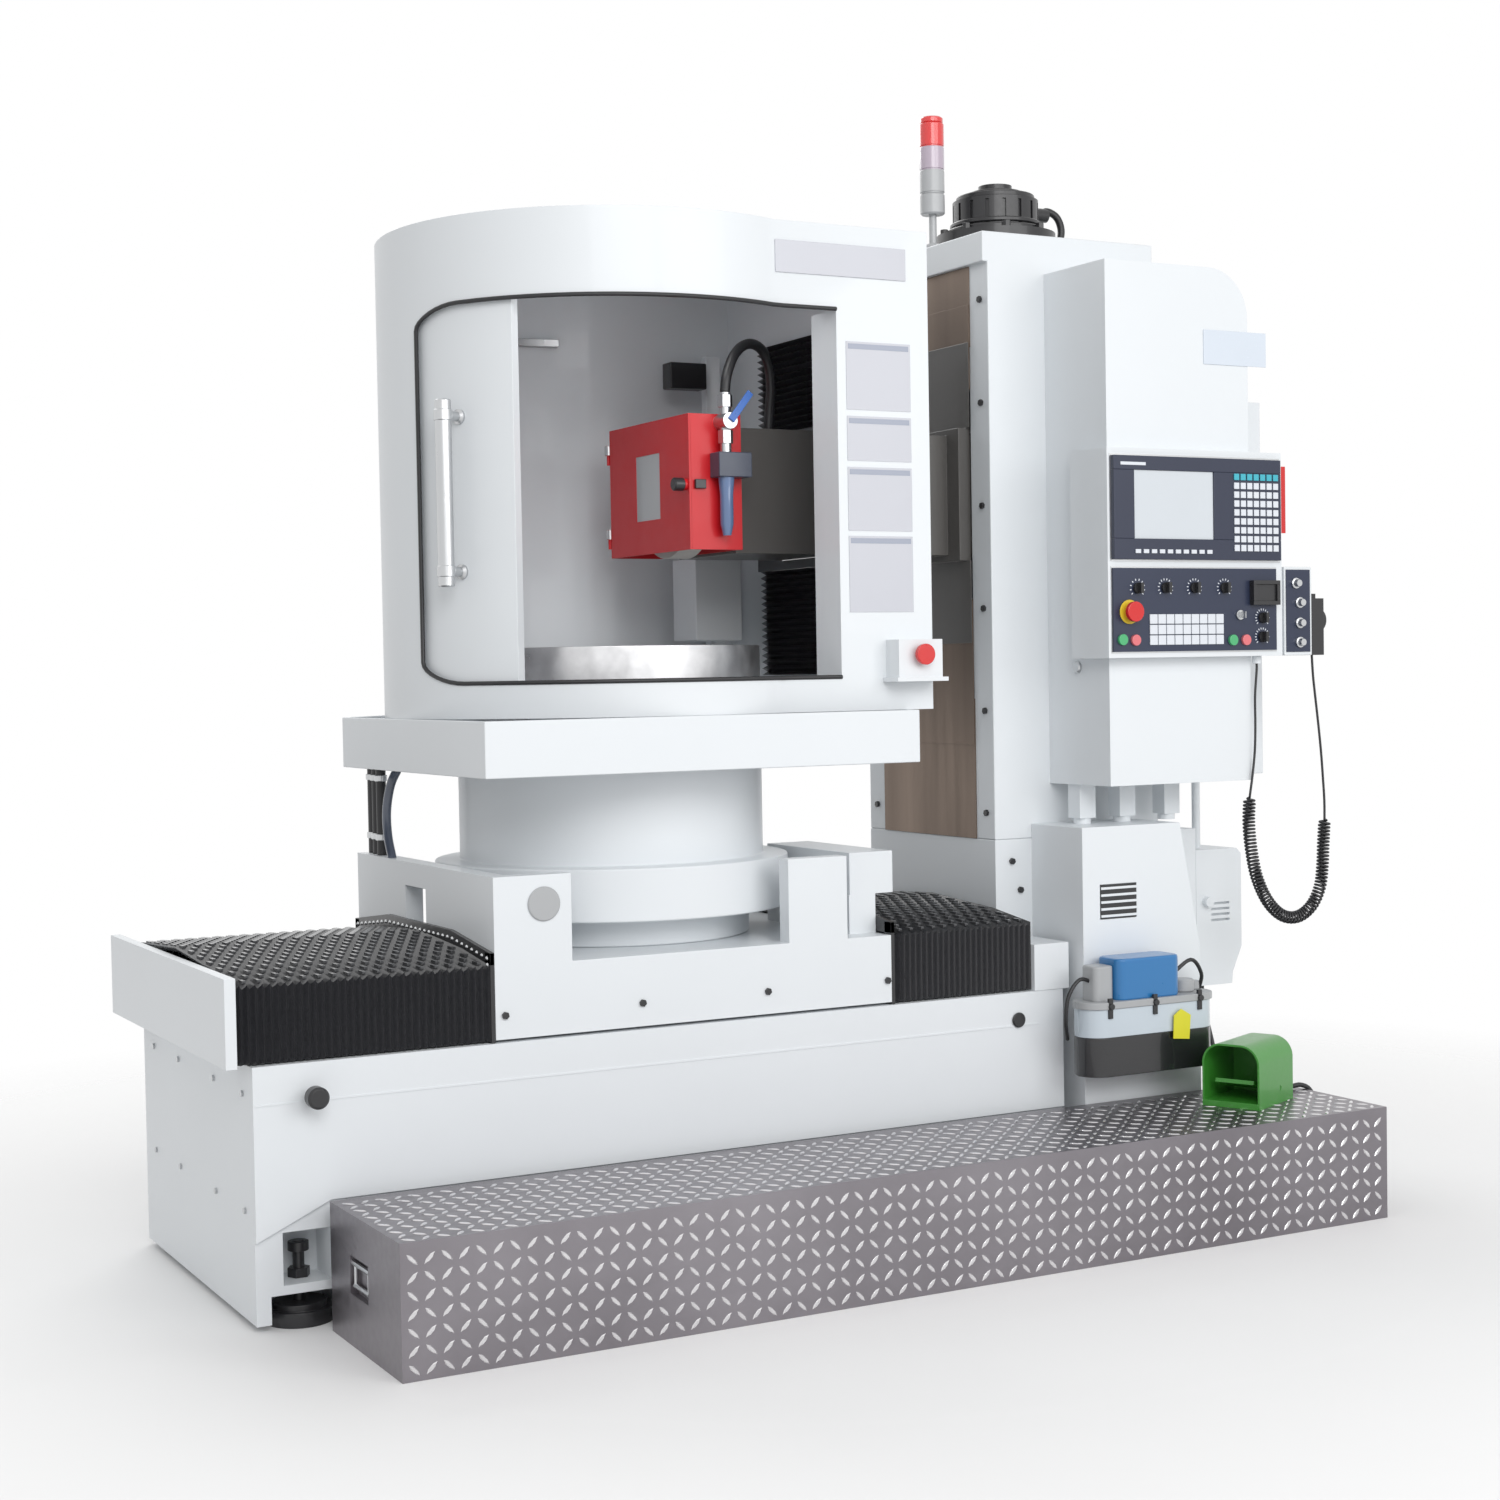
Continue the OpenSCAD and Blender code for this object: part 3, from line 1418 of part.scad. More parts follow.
// The slice of the plan between two angles
module slice(a0, a1) polygon([
    [0, 0], 2 * hood_r * [cos(a0), sin(a0)], 2 * hood_r * [cos((a0 + a1) / 2), sin((a0 + a1) / 2)],
    2 * hood_r * [cos(a1), sin(a1)]
]);

// Part of a ring of the door's plan, as wide as its sheet or its returned edge
module door_ring(depth, a0, a1) intersection() {
    difference() {
        circle(r = door_r, $fn = 96);
        circle(r = door_r - depth, $fn = 96);
    }
    slice(a0, a1);
}

module door_plan() {
    door_ring(door_t, door_start, door_start + door_arc);
    door_ring(door_lip, door_start, door_start + door_lip_arc);
    door_ring(door_lip, door_start + door_arc - door_lip_arc, door_start + door_arc);
}

module door() color("ghostwhite") translate([axis_x, axis_y, door_z]) {
    linear_extrude(door_h) door_plan();
    rotate([0, 0, handle_angle]) {
        rod_z([door_r + handle_off, 0, handle_z - door_z], handle_r, handle_l);
        for (z = [handle_foot_in, handle_l - handle_foot_in])
            rod_x([door_r - door_t / 2, 0, handle_z - door_z + z], handle_foot_r, handle_foot_l);
    }
}

// Folded panels over and under the seal frame
module folds(w, h) {
    n = max(2, round(h / fold_z_pitch));
    rings = [
        for (i = [0 : 2 * n]) let (z = h * i / (2 * n), d = i % 2 == 0 ? 0 : fold_z_d)
            each [[d, 0, z], [d, w, z], [d + head_fold_t, w, z], [d + head_fold_t, 0, z]]
    ];
    polyhedron(rings, turned(concat(side_faces(2 * n + 1, 4), end_faces(2 * n + 1, 4))));
}

module head_bellows() color([0.1, 0.1, 0.12]) translate([seal_x + seal_t, axis_y - slot_w / 2, 0]) {
    translate([0, 0, seal_z + seal_h]) folds(slot_w, slot_z + slot_h - seal_z - seal_h);
    translate([0, 0, slot_z]) folds(slot_w, seal_z - slot_z);
    for (z = [slot_z - fold_bar_h, slot_z + slot_h])
        slab([0, 0, z], [fold_room - seal_t, slot_w, fold_bar_h]);
}

module head_seal() color([0.3, 0.31, 0.33]) difference() {
    slab([seal_x, axis_y - slot_w / 2, seal_z], [seal_t - gap, slot_w, seal_h]);
    slab([seal_x - over, axis_y - housing_w / 2 - seal_gap, housing_z - seal_gap],
        [seal_t + 2 * over, housing_w + 2 * seal_gap, housing_h + 2 * seal_gap]);
}

module hood_estop_box() color("ghostwhite") difference() {
    union() {
        slab([hood_box_x, hood_box_y, hood_box_z], [hood_box_w, hood_box_d, hood_box_h]);
        slab([hood_box_x - hood_box_lip, hood_box_y - hood_box_lip, hood_box_z - hood_box_lip],
            [hood_box_w + 2 * hood_box_lip, hood_box_d + hood_box_lip, hood_box_lip]);
    }
    rod_y([hood_box_x + hood_box_w / 2, hood_box_y - over, hood_box_z + hood_box_h * 0.6],
        estop_stem_r + knob_bore_gap, estop_stem_l + 2 * over);
}

module hood_estop()
    translate([hood_box_x + hood_box_w / 2, hood_box_y - gap, hood_box_z + hood_box_h * 0.6]) estop_knob();

module drain_hoses() color([0.25, 0.25, 0.28]) {
    for (i = [0 : 2])
        rod_z([saddle_x + drain_in + drain_step * i, axis_y + drain_back + drain_pitch * i, post_top],
            hose_r + drain_grow * i, tray_z - post_top);
}

// Wheelhead

module wheelhead() color([0.36, 0.35, 0.34]) {
    difference() {
        union() {
            slab([housing_x + nose_l, axis_y - housing_w / 2, housing_z],
                [carriage_x - housing_x - nose_l, housing_w, housing_h]);
            rod_x([housing_x, axis_y, spindle_z], nose_r, nose_l + over);
            slab([carriage_x, axis_y - carriage_w / 2, carriage_z], [carriage_t, carriage_w, carriage_h]);
            for (s = [-1, 1])
                slab([carriage_x + carriage_t,
                    axis_y + s * col_rail_dy - block_w / 2 + (s > 0 ? 0 : head_block_trim),
                    carriage_z + head_block_end],
                    [recess_d - carriage_in - head_block_gap, block_w - head_block_trim,
                        carriage_h - 2 * head_block_end]);
            cover_plate(2, cover_low_head);
            cover_plate(2, cover_high_head);
        }
        for (s = [-1, 1])
            slab([col_x + recess_d - rail_h - gap, axis_y + s * col_rail_dy - rail_w / 2 - gap,
                carriage_z - over],
                [rail_h + 2 * over, rail_w + 2 * gap, carriage_h + 2 * over]);
        rod_x([housing_x - over, axis_y, spindle_z],
            spindle_r + run_fit, carriage_x - housing_x - spindle_bore_end);
        rod_x([housing_x + nose_l + bearing_l, axis_y, spindle_z], motor_bore_r, motor_bore_l);
    }
}

module wheel_spindle() color("silver") translate([0, axis_y, spindle_z]) {
    rod_x([wheel_x + wheel_w + wheel_flange_t, 0, 0],
        spindle_r, carriage_x - wheel_x - wheel_w - wheel_flange_t - shaft_end);
    rod_x([housing_x + nose_l + bearing_l + rotor_end, 0, 0],
        motor_bore_r * 0.8, motor_bore_l - 2 * rotor_end);
    rod_x([wheel_x + wheel_w, 0, 0], wheel_flange_r, wheel_flange_t);
    rod_x([wheel_x - wheel_flange_t - wheel_nut_l, 0, 0],
        wheel_bore_r, wheel_w + wheel_flange_t + wheel_nut_l);
    rod_x([wheel_x - wheel_flange_t, 0, 0], wheel_flange_r, wheel_flange_t);
}

module grinding_wheel() color([0.85, 0.84, 0.8]) difference() {
    rod_x([wheel_x, axis_y, spindle_z], wheel_r, wheel_w);
    rod_x([wheel_x - over, axis_y, spindle_z], wheel_bore_r, wheel_w + 2 * over);
}

module wheel_guard() color([0.75, 0.07, 0.1]) {
    difference() {
        slab([guard_x, guard_y, guard_z], [guard_w, guard_d, guard_h]);
        slab([guard_x - over, guard_y + guard_t, guard_z - over],
            [guard_w - guard_t + over, guard_d - 2 * guard_t, guard_h - guard_t + over]);
        rod_x([guard_x, axis_y, spindle_z], nose_r * 0.75, guard_w + over);
    }
    for (s = guard_hinge_share) translate([guard_x, guard_y + guard_d, guard_z + guard_h * s]) {
        rod_z([-guard_door_t, guard_hinge_r, -guard_hinge_l / 2], guard_pin_r, guard_hinge_l);
        slab([-guard_door_t, guard_pin_r, -guard_hinge_l / 2],
            [2 * guard_door_t, guard_hinge_r, guard_hinge_l / 2 - gap]);
        slab([0, 0, -guard_hinge_l / 2],
            [3 * guard_door_t, guard_hinge_r + guard_pin_r, guard_hinge_l / 2 - gap]);
    }
}

module guard_door() color([0.7, 0.05, 0.08]) {
    difference() {
        slab([guard_x - guard_door_t - gap, guard_y, guard_z], [guard_door_t, guard_d, guard_h]);
        slab([guard_x - guard_door_t - over, guard_y + guard_window_y, guard_z + guard_window_z],
            [guard_door_t + 2 * over, guard_window_w, guard_window_h]);
    }
    for (s = guard_hinge_share) translate([guard_x - guard_door_t, guard_y + guard_d, guard_z + guard_h * s])
        difference() {
            union() {
                rod_z([0, guard_hinge_r, 0], guard_hinge_r - gap, guard_hinge_l / 2);
                slab([-gap, -guard_door_t, 0], [guard_door_t, 2 * guard_door_t, guard_hinge_l / 2]);
            }
            rod_z([0, guard_hinge_r, -over], guard_pin_r + guard_pin_gap, guard_hinge_l);
        }
    rod_x([guard_x - guard_door_t - gap - latch_l, guard_y + latch_r + guard_door_t,
        guard_z + guard_h * latch_share], latch_r, latch_l);
}

module coolant_manifold() {
    color([0.3, 0.33, 0.42]) slab([block_x, guard_y - block_d2, block_z], [block_w2, block_d2, block_h2]);
    color("silver") {
        rod_z([pipe_x, pipe_y, block_z + block_h2], pipe_r, pipe_l);
        rod_y([pipe_x, pipe_y - valve_l / 2, block_z + block_h2 + valve_up], valve_r, valve_l / 2);
    }
    color([0.2, 0.35, 0.6]) rod_z([pipe_x, pipe_y, block_z - nozzle_l], nozzle_r, nozzle_l);
    color([0.1, 0.1, 0.1]) tube(spline([for (p = hose_route) in_bed(p)], 3), hose_r, 8, [0, 1, 0.2]);
}

module valve_lever() color([0.1, 0.35, 0.75])
    translate([pipe_x, pipe_y - valve_l / 2 - gap, block_z + block_h2 + valve_up])
        rotate([0, lever_tilt, 0])
        slab([-lever_w / 2, -lever_t, 0], [lever_w, lever_t, lever_l]);

bed();
levelling_pads();
guide_rails();
end_covers();
bellows_left();
bellows_right();
column_base();
column();
z_motor();
fixed_way_covers();
cabinet();
rear_cabinet();
panel_housing();
panel_units();
side_box();
signal_tower();
junction_box();
lubricator();
step_box();
pedal_hood();
pendant_cord();
pedal_cord();
pendant();
saddle();
rotary_base();
tray();
hood();
door_rails();
head_bellows();
hood_estop_box();
drain_hoses();
chuck();
table_spindle();
door();
wheelhead();
wheel_guard();
coolant_manifold();
head_seal();
way_cover_middle();
wheel_spindle();
grinding_wheel();
guard_door();
panel_estop();
hood_estop();
main_switch();
pendant_dial();
pedal_plate();
step_handle();
valve_lever();
selector(knob_places[0]);  // selector_1
selector(knob_places[1]);  // selector_2
selector(knob_places[2]);  // selector_3
selector(knob_places[3]);  // selector_4
selector(knob_places[4]);  // selector_5
selector(knob_places[5]);  // selector_6
key_switch();
button(button_places[0], "green");  // button_1
button(button_places[1], "red");  // button_2
button(button_places[2], "green");  // button_3
button(button_places[3], "red");  // button_4
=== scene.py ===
import json
import math

import bmesh
import bpy
from mathutils import Matrix, Vector

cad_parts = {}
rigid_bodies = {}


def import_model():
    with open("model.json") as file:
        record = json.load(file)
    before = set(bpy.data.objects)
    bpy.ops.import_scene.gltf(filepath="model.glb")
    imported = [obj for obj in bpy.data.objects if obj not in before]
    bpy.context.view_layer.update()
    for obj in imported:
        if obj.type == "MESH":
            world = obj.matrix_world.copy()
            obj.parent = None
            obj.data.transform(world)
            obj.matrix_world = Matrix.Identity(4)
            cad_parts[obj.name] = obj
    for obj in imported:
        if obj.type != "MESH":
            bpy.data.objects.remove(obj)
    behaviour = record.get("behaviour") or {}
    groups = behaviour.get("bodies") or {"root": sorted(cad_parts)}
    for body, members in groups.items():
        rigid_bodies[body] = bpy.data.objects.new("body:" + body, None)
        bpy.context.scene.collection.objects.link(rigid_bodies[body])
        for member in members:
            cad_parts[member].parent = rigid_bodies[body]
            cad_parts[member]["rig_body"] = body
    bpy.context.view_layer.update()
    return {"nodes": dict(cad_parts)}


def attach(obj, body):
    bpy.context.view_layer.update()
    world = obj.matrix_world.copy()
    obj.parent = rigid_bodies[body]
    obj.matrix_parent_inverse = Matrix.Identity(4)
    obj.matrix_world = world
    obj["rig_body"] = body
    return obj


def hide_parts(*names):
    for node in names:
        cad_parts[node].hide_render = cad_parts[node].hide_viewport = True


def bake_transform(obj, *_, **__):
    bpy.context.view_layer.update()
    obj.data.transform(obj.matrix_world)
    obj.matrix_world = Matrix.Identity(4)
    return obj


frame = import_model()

scene = bpy.context.scene
scene.view_settings.view_transform = "Standard"


# Camera. It stands left of the machine at chest height and looks along the bed
# to the column, a little downwards, with the lens of a short telephoto.
CAMERA_AT = (-1.1798, -3.8563, 1.100)
CAMERA_YAW, CAMERA_DOWN, CAMERA_ROLL = 0.49414, 0.03398, 0.01743
LENS, SENSOR, FAR_CLIP = 55.73, 36, 50

ahead = Vector((math.sin(CAMERA_YAW) * math.cos(CAMERA_DOWN),
                math.cos(CAMERA_YAW) * math.cos(CAMERA_DOWN), -math.sin(CAMERA_DOWN)))
level = Vector((math.cos(CAMERA_YAW), -math.sin(CAMERA_YAW), 0))
over = level.cross(ahead)
right = level * math.cos(CAMERA_ROLL) - over * math.sin(CAMERA_ROLL)
camera = bpy.data.objects.new("camera", bpy.data.cameras.new("camera"))
camera.data.sensor_width = SENSOR
camera.data.lens = LENS
camera.data.clip_end = FAR_CLIP
turn = Matrix((right, right.cross(ahead), -ahead)).transposed().to_4x4()
camera.matrix_world = Matrix.Translation(CAMERA_AT) @ turn
scene.collection.objects.link(camera)
scene.camera = camera


# Cords. Each is a round tube of black rubber that follows a smooth line. The
# shader sums, the finishes and the shapes are set out here, because the cords
# are the first pieces that need them.
class Sock:
    """A shader value that takes part in sums."""

    def __init__(self, wiring, socket):
        self.wiring, self.socket = wiring, socket

    def _math(self, kind, a, b):
        return self.wiring.node("ShaderNodeMath", {"operation": kind}, [a, b])

    def __add__(self, other):
        return self._math("ADD", self, other)

    def __sub__(self, other):
        return self._math("SUBTRACT", self, other)

    def __rsub__(self, other):
        return self._math("SUBTRACT", other, self)

    def __mul__(self, other):
        return self._math("MULTIPLY", self, other)

    def __truediv__(self, other):
        return self._math("DIVIDE", self, other)

    __radd__ = __add__
    __rmul__ = __mul__

    def clamp(self):
        return self.wiring.node("ShaderNodeMath", {"operation": "ADD", "use_clamp": True}, [self, 0.0])


class Wiring:
    """A node tree, and the one way in which this file adds a node to it."""

    def __init__(self, tree):
        self.tree = tree

    def put(self, target, value):
        if isinstance(value, Sock):
            self.tree.links.new(value.socket, target)
        elif target.type == "RGBA":
            target.default_value = (*value, 1)
        else:
            target.default_value = value

    def node(self, kind, settings=None, values=(), out=0):
        made = self.tree.nodes.new(kind)
        for key, value in (settings or {}).items():
            setattr(made, key, value)
        for key, value in values.items() if isinstance(values, dict) else enumerate(values):
            self.put(made.inputs[key], value)
        return Sock(self, made.outputs[out])


class Paint(Wiring):
    """A finish: a material, its shader, and the record's slot it belongs to."""

    def __init__(self, name, slot, **fixed):
        self.slot = slot
        self.material = bpy.data.materials.new(name)
        self.material.use_nodes = True
        super().__init__(self.material.node_tree)
        self.shader = self.tree.nodes["Principled BSDF"]
        self.set(**fixed)

    def set(self, **values):
        for key, value in values.items():
            self.put(self.shader.inputs[key.replace("_", " ").title()], value)

    def place(self):
        return self.node("ShaderNodeTexCoord", out="Object")

    def noise(self, scale, detail=3.0, stretch=(1, 1, 1)):
        spot = self.node("ShaderNodeMapping", values={"Vector": self.place(), "Scale": stretch})
        return self.node("ShaderNodeTexNoise", values={"Vector": spot, "Scale": scale, "Detail": detail})

    def mix(self, factor, a, b):
        return self.node("ShaderNodeMix", {"data_type": "RGBA"}, {0: factor, 6: a, 7: b}, out=2)

    def bump(self, height, strength, distance=0.001):
        self.put(self.shader.inputs["Normal"], self.node(
            "ShaderNodeBump", values={"Strength": strength, "Distance": distance, "Height": height}))


def shaded(colour, share):
    return tuple(min(1, c * share) for c in colour)


MOTTLE, ROUGH_SWING = 3.5, 0.12


def plain_finish(name, slot, colour, rough, spread=0.06, grain=60, bump=0.0, **fixed):
    """A paint or plastic that is never quite even: a slow mottle and a fine grain."""
    paint = Paint(name, slot, **fixed)
    mottle = paint.noise(MOTTLE)
    paint.set(base_color=paint.mix(mottle, shaded(colour, 1 - spread), shaded(colour, 1 + spread)))
    fine = paint.noise(grain)
    paint.set(roughness=(fine * ROUGH_SWING + (rough - ROUGH_SWING / 2)).clamp())
    if bump:
        paint.bump(fine, bump)
    return paint


# The frame starts at the first levelling pad, this far in from the bed's corner.
PAD_IN, PAD_BACK = 90, 60


def at(x, y, z):
    """A place in millimetres from the bed's front left corner, as metres in the frame."""
    return Vector(((x - PAD_IN) / 1000, (y - PAD_BACK) / 1000, z / 1000))


# Faces that meet at less than this many degrees are smoothed into each other, and
# edges sharper than the second angle are rounded off.
SMOOTH_BELOW, BEVEL_ABOVE = 32, 40


class Shape:
    """Gathers boxes, rods and swept forms, in millimetres, into one piece."""

    def __init__(self, name):
        self.name, self.points, self.faces = name, [], []

    def add(self, points, faces):
        start = len(self.points)
        self.points += [Vector(p) for p in points]
        self.faces += [[start + i for i in face] for face in faces]
        return self

    def box(self, lo, hi):
        (x0, y0, z0), (x1, y1, z1) = lo, hi
        return self.add(
            [(x0, y0, z0), (x1, y0, z0), (x1, y1, z0), (x0, y1, z0),
             (x0, y0, z1), (x1, y0, z1), (x1, y1, z1), (x0, y1, z1)],
            [(0, 3, 2, 1), (4, 5, 6, 7), (0, 1, 5, 4), (1, 2, 6, 5), (2, 3, 7, 6), (3, 0, 4, 7)])

    def raised(self, face, out, x0, x1, z0, z1, back=0.0):
        """A plate on a front face, standing out of it and begun at back."""
        return self.box((x0, face - out, z0), (x1, face - back, z1))

    def rings(self, rings):
        """Joins rings of as many points one after the other, and closes both ends."""
        n, last = len(rings[0]), len(rings) - 1
        faces = [(i * n + k, i * n + (k + 1) % n, (i + 1) * n + (k + 1) % n, (i + 1) * n + k)
                 for i in range(last) for k in range(n)]
        faces += [tuple(range(n - 1, -1, -1)), tuple(last * n + k for k in range(n))]
        return self.add([p for ring in rings for p in ring], faces)

    def turned(self, a, b, profile, sides=40):
        """A turned form on the axis from a to b; profile is pairs of share along it and radius."""
        a, b = Vector(a), Vector(b)
        t = (b - a).normalized()
        e = t.orthogonal().normalized()
        f = t.cross(e)
        return self.rings([[a + (b - a) * s + (e * math.cos(w) + f * math.sin(w)) * r
                            for w in (2 * math.pi * k / sides for k in range(sides))]
                           for s, r in profile])

    def rod(self, a, b, r, sides=32, chamfer=0.0):
        long = (Vector(b) - Vector(a)).length
        c = chamfer / long if chamfer else 0
        ends = [(0, r - chamfer), (c, r), (1 - c, r), (1, r - chamfer)] if chamfer else [(0, r), (1, r)]
        return self.turned(a, b, ends, sides)

    def screws(self, places, out, r):
        """Hexagon heads at the given places, each as high as the vector out."""
        for place in places:
            self.rod(place, Vector(place) + Vector(out), r, 6)
        return self

    def sweep(self, line, r, sides=12):
        """A tube along a line, its section carried on without a twist."""
        rings, e = [], None
        for i, p in enumerate(line):
            t = (line[min(i + 1, len(line) - 1)] - line[max(i - 1, 0)]).normalized()
            e = t.orthogonal() if e is None else e - t * e.dot(t)
            e.normalize()
            f = t.cross(e)
            rings.append([p + (e * math.cos(w) + f * math.sin(w)) * r
                          for w in (2 * math.pi * k / sides for k in range(sides))])
        return self.rings(rings)

    def prism(self, outline, axis, lo, hi):
        """An outline in the plane across an axis, drawn out along it."""
        def stand(p, h):
            return {"x": (h, *p), "y": (p[0], h, p[1]), "z": (*p, h)}[axis]
        turned = list(outline) if axis != "y" else list(reversed(outline))
        return self.rings([[stand(p, lo) for p in turned], [stand(p, hi) for p in turned]])

    def made(self, paint, body, bevel=0.0, replaces=(), smooth=SMOOTH_BELOW):
        mesh = bpy.data.meshes.new(self.name)
        mesh.from_pydata([at(*p) for p in self.points], [], self.faces)
        return settled(self.name, mesh, paint, body, bevel, replaces, smooth)


def settled(name, mesh, paint, body, bevel=0.0, replaces=(), smooth=SMOOTH_BELOW):
    """Gives a mesh its edges, finish and body, and puts it in the scene."""
    form = bmesh.new()
    form.from_mesh(mesh)
    bmesh.ops.recalc_face_normals(form, faces=form.faces)
    for edge in form.edges:
        edge.smooth = len(edge.link_faces) == 2 and edge.calc_face_angle(0) < math.radians(smooth)
    for face in form.faces:
        face.smooth = True
    form.to_mesh(mesh)
    form.free()
    mesh.materials.clear()
    mesh.materials.append(paint.material)
    piece = bpy.data.objects.new(name, mesh)
    scene.collection.objects.link(piece)
    if bevel:
        edges = piece.modifiers.new("edges", "BEVEL")
        edges.width = bevel / 1000
        edges.segments = 2
        edges.limit_method = "ANGLE"
        edges.angle_limit = math.radians(BEVEL_ABOVE)
        edges.harden_normals = True
    if body:
        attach(piece, body)
    if replaces:
        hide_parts(*([replaces] if isinstance(replaces, str) else replaces))
    return piece


WELD, FLAT = 0.00002, math.radians(1)


def dressed(node, paint, bevel):
    """A solid's own shape with softened edges, as its sheet or casting has them."""
    solid = frame["nodes"][node]
    mesh = solid.data.copy()
    form = bmesh.new()
    form.from_mesh(mesh)
    bmesh.ops.remove_doubles(form, verts=form.verts, dist=WELD)
    bmesh.ops.dissolve_limit(form, angle_limit=FLAT, verts=form.verts, edges=form.edges)
    form.to_mesh(mesh)
    form.free()
    return settled("skin_" + node, mesh, paint, solid["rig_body"], bevel, node)


def smooth_line(points, steps):
    """Points along a smooth curve through the given places."""
    p = [Vector(q) for q in points]
    p = [2 * p[0] - p[1], *p, 2 * p[-1] - p[-2]]
    line = []
    for i in range(1, len(p) - 2):
        a, b, c, d = p[i - 1:i + 3]
        for j in range(steps):
            t = j / steps
            line.append(0.5 * (2 * b + (c - a) * t + (2 * a - 5 * b + 4 * c - d) * t * t
                               + (3 * b - a - 3 * c + d) * t ** 3))
    return line + [p[-2]]


black_rubber = plain_finish("black_rubber", "black_cable", (0.016, 0.016, 0.018), 0.42, 0.2, 300)

# The pendant's cord hangs in one plane in front of the cabinet, so its places are
# given across and up. Its middle is wound into curls that grow over the first turn
# and shrink over the last.
CORD_Y = -68
CORD_R, CURL_R, CURLS, CURL_STEPS = 2.5, 11, 74, 20
LEAD = [(2111, 1097), (2111, 1084), (2106, 1030), (2106, 970), (2104, 918), (2097, 866), (2089, 822)]
CURVE = [(2089, 822), (2086, 770), (2092, 712), (2106, 655), (2134, 604), (2172, 572), (2214, 566),
         (2252, 586), (2276, 624), (2284, 668), (2287, 716), (2291, 768)]
TAIL = [(2291, 768), (2291, 806), (2288, 850), (2283, 910), (2276, 970), (2268, 1030), (2263, 1070),
        (2260, 1113)]
DEPTH = Vector((0, 1, 0))


def hung(places, steps):
    """A smooth line through the given places in the cord's plane."""
    return smooth_line([(x, CORD_Y, z) for x, z in places], steps)


hang = hung(CURVE, 24)
marks = [0]
for a, b in zip(hang, hang[1:]):
    marks.append(marks[-1] + (b - a).length)


def hang_at(s):
    """The place at a length s along the hanging line."""
    i = max(0, min(len(hang) - 2, next((k for k, v in enumerate(marks) if v > s), len(marks)) - 1))
    return hang[i].lerp(hang[i + 1], (s - marks[i]) / (marks[i + 1] - marks[i]))


reach, turns = marks[-1], CURLS * CURL_STEPS
near = reach / (CURLS * 8)
curl_line = []
for i in range(turns + 1):
    s = reach * i / turns
    along = (hang_at(min(reach, s + near)) - hang_at(max(0, s - near))).normalized()
    out = along.cross(DEPTH)
    grow = min(1, i / CURL_STEPS, (turns - i) / CURL_STEPS)
    w = 2 * math.pi * i / CURL_STEPS
    curl_line.append(hang_at(s) + CURL_R * grow * (math.cos(w) * out + math.sin(w) * DEPTH))
cord_line = hung(LEAD, 4)[:-1] + curl_line + hung(TAIL, 4)[1:]
pendant_cord = Shape("pendant_cord_curls").sweep(cord_line, CORD_R, 8).made(
    black_rubber, "machine", replaces="pendant_cord", smooth=70)
cord_path = [at(*p) for p in cord_line]

# The pedal's cord drops from its gland, lies behind the step and comes up over it.
PEDAL_CORD_R = 5
PEDAL_ROUTE = [
    (2180, 203, 403), (2180, 203, 384), (2182, 200, 350), (2186, 188, 300), (2194, 172, 232),
    (2204, 148, 150), (2214, 120, 80), (2226, 86, 30), (2240, 44, 7), (2256, -6, 5), (2268, -66, 5),
    (2270, -118, 5), (2262, -160, 5), (2242, -184, 7), (2214, -188, 26), (2196, -178, 62),
    (2187, -168, 110), (2185, -158, 160), (2183, -150, 196), (2174, -143, 219), (2156, -138, 228),
    (2135, -136, 227), (2113, -140, 229), (2095, -149, 232), (2077, -157, 233)]
pedal_line = smooth_line(PEDAL_ROUTE, 8)
pedal_cord = Shape("pedal_cord_tube").sweep(pedal_line, PEDAL_CORD_R, 14).made(
    black_rubber, "machine", replaces="pedal_cord", smooth=70)
pedal_path = [at(*p) for p in pedal_line]


# Bed. A grey-iron casting, filled and painted white, with a shallow toe recess
# along the front, a bolt pocket at each corner and a band of trim under the ways.
# A knob is screwed in at the left, and a plug closes a hole at the right.
white = plain_finish("white_enamel", "white_paint", (0.755, 0.785, 0.81), 0.42, 0.02, 140, 0.02,
                     coat_weight=0.12)
black = plain_finish("black_enamel", "black_paint", (0.018, 0.018, 0.02), 0.38, 0.1, 120, coat_weight=0.2)
steel = plain_finish("plain_steel", "ground_steel", (0.56, 0.57, 0.58), 0.3, 0.08, 90, metallic=1.0)
KNOB_X, KNOB_Z, KNOB_R, KNOB_STEM_R = 100, 397, 19, 8
PLUG_X, PLUG_Z, PLUG_R = 1550, 398, 15
BAND_L, BAND_Z, BAND_H, BAND_T = 1600, 385, 3, 1.2
dressed("bed", white, 4)
Shape("bed_knob").rod((KNOB_X, 0, KNOB_Z), (KNOB_X, -26, KNOB_Z), KNOB_STEM_R).rod(
    (KNOB_X, -20, KNOB_Z), (KNOB_X, -48, KNOB_Z), KNOB_R, chamfer=4).made(black, "machine", 0.5)
Shape("bed_plug").rod((PLUG_X, 0, PLUG_Z), (PLUG_X, -6, PLUG_Z), PLUG_R, chamfer=2).made(black, "machine")
Shape("bed_band").raised(0, BAND_T, 0, BAND_L, BAND_Z, BAND_Z + BAND_H).made(white, "machine")
Shape("bed_end_screws").screws([(0, y, z) for y in (60, 240, 480, 660) for z in (200, 400)],
                               (-4, 0, 0), 6).made(steel, "machine", 0.4)


# Levelling pads. Black cast pads under the bed's pockets. Each is screwed up and
# down on a threaded stud and locked by two nuts.
dressed("levelling_pads", black, 1.5)


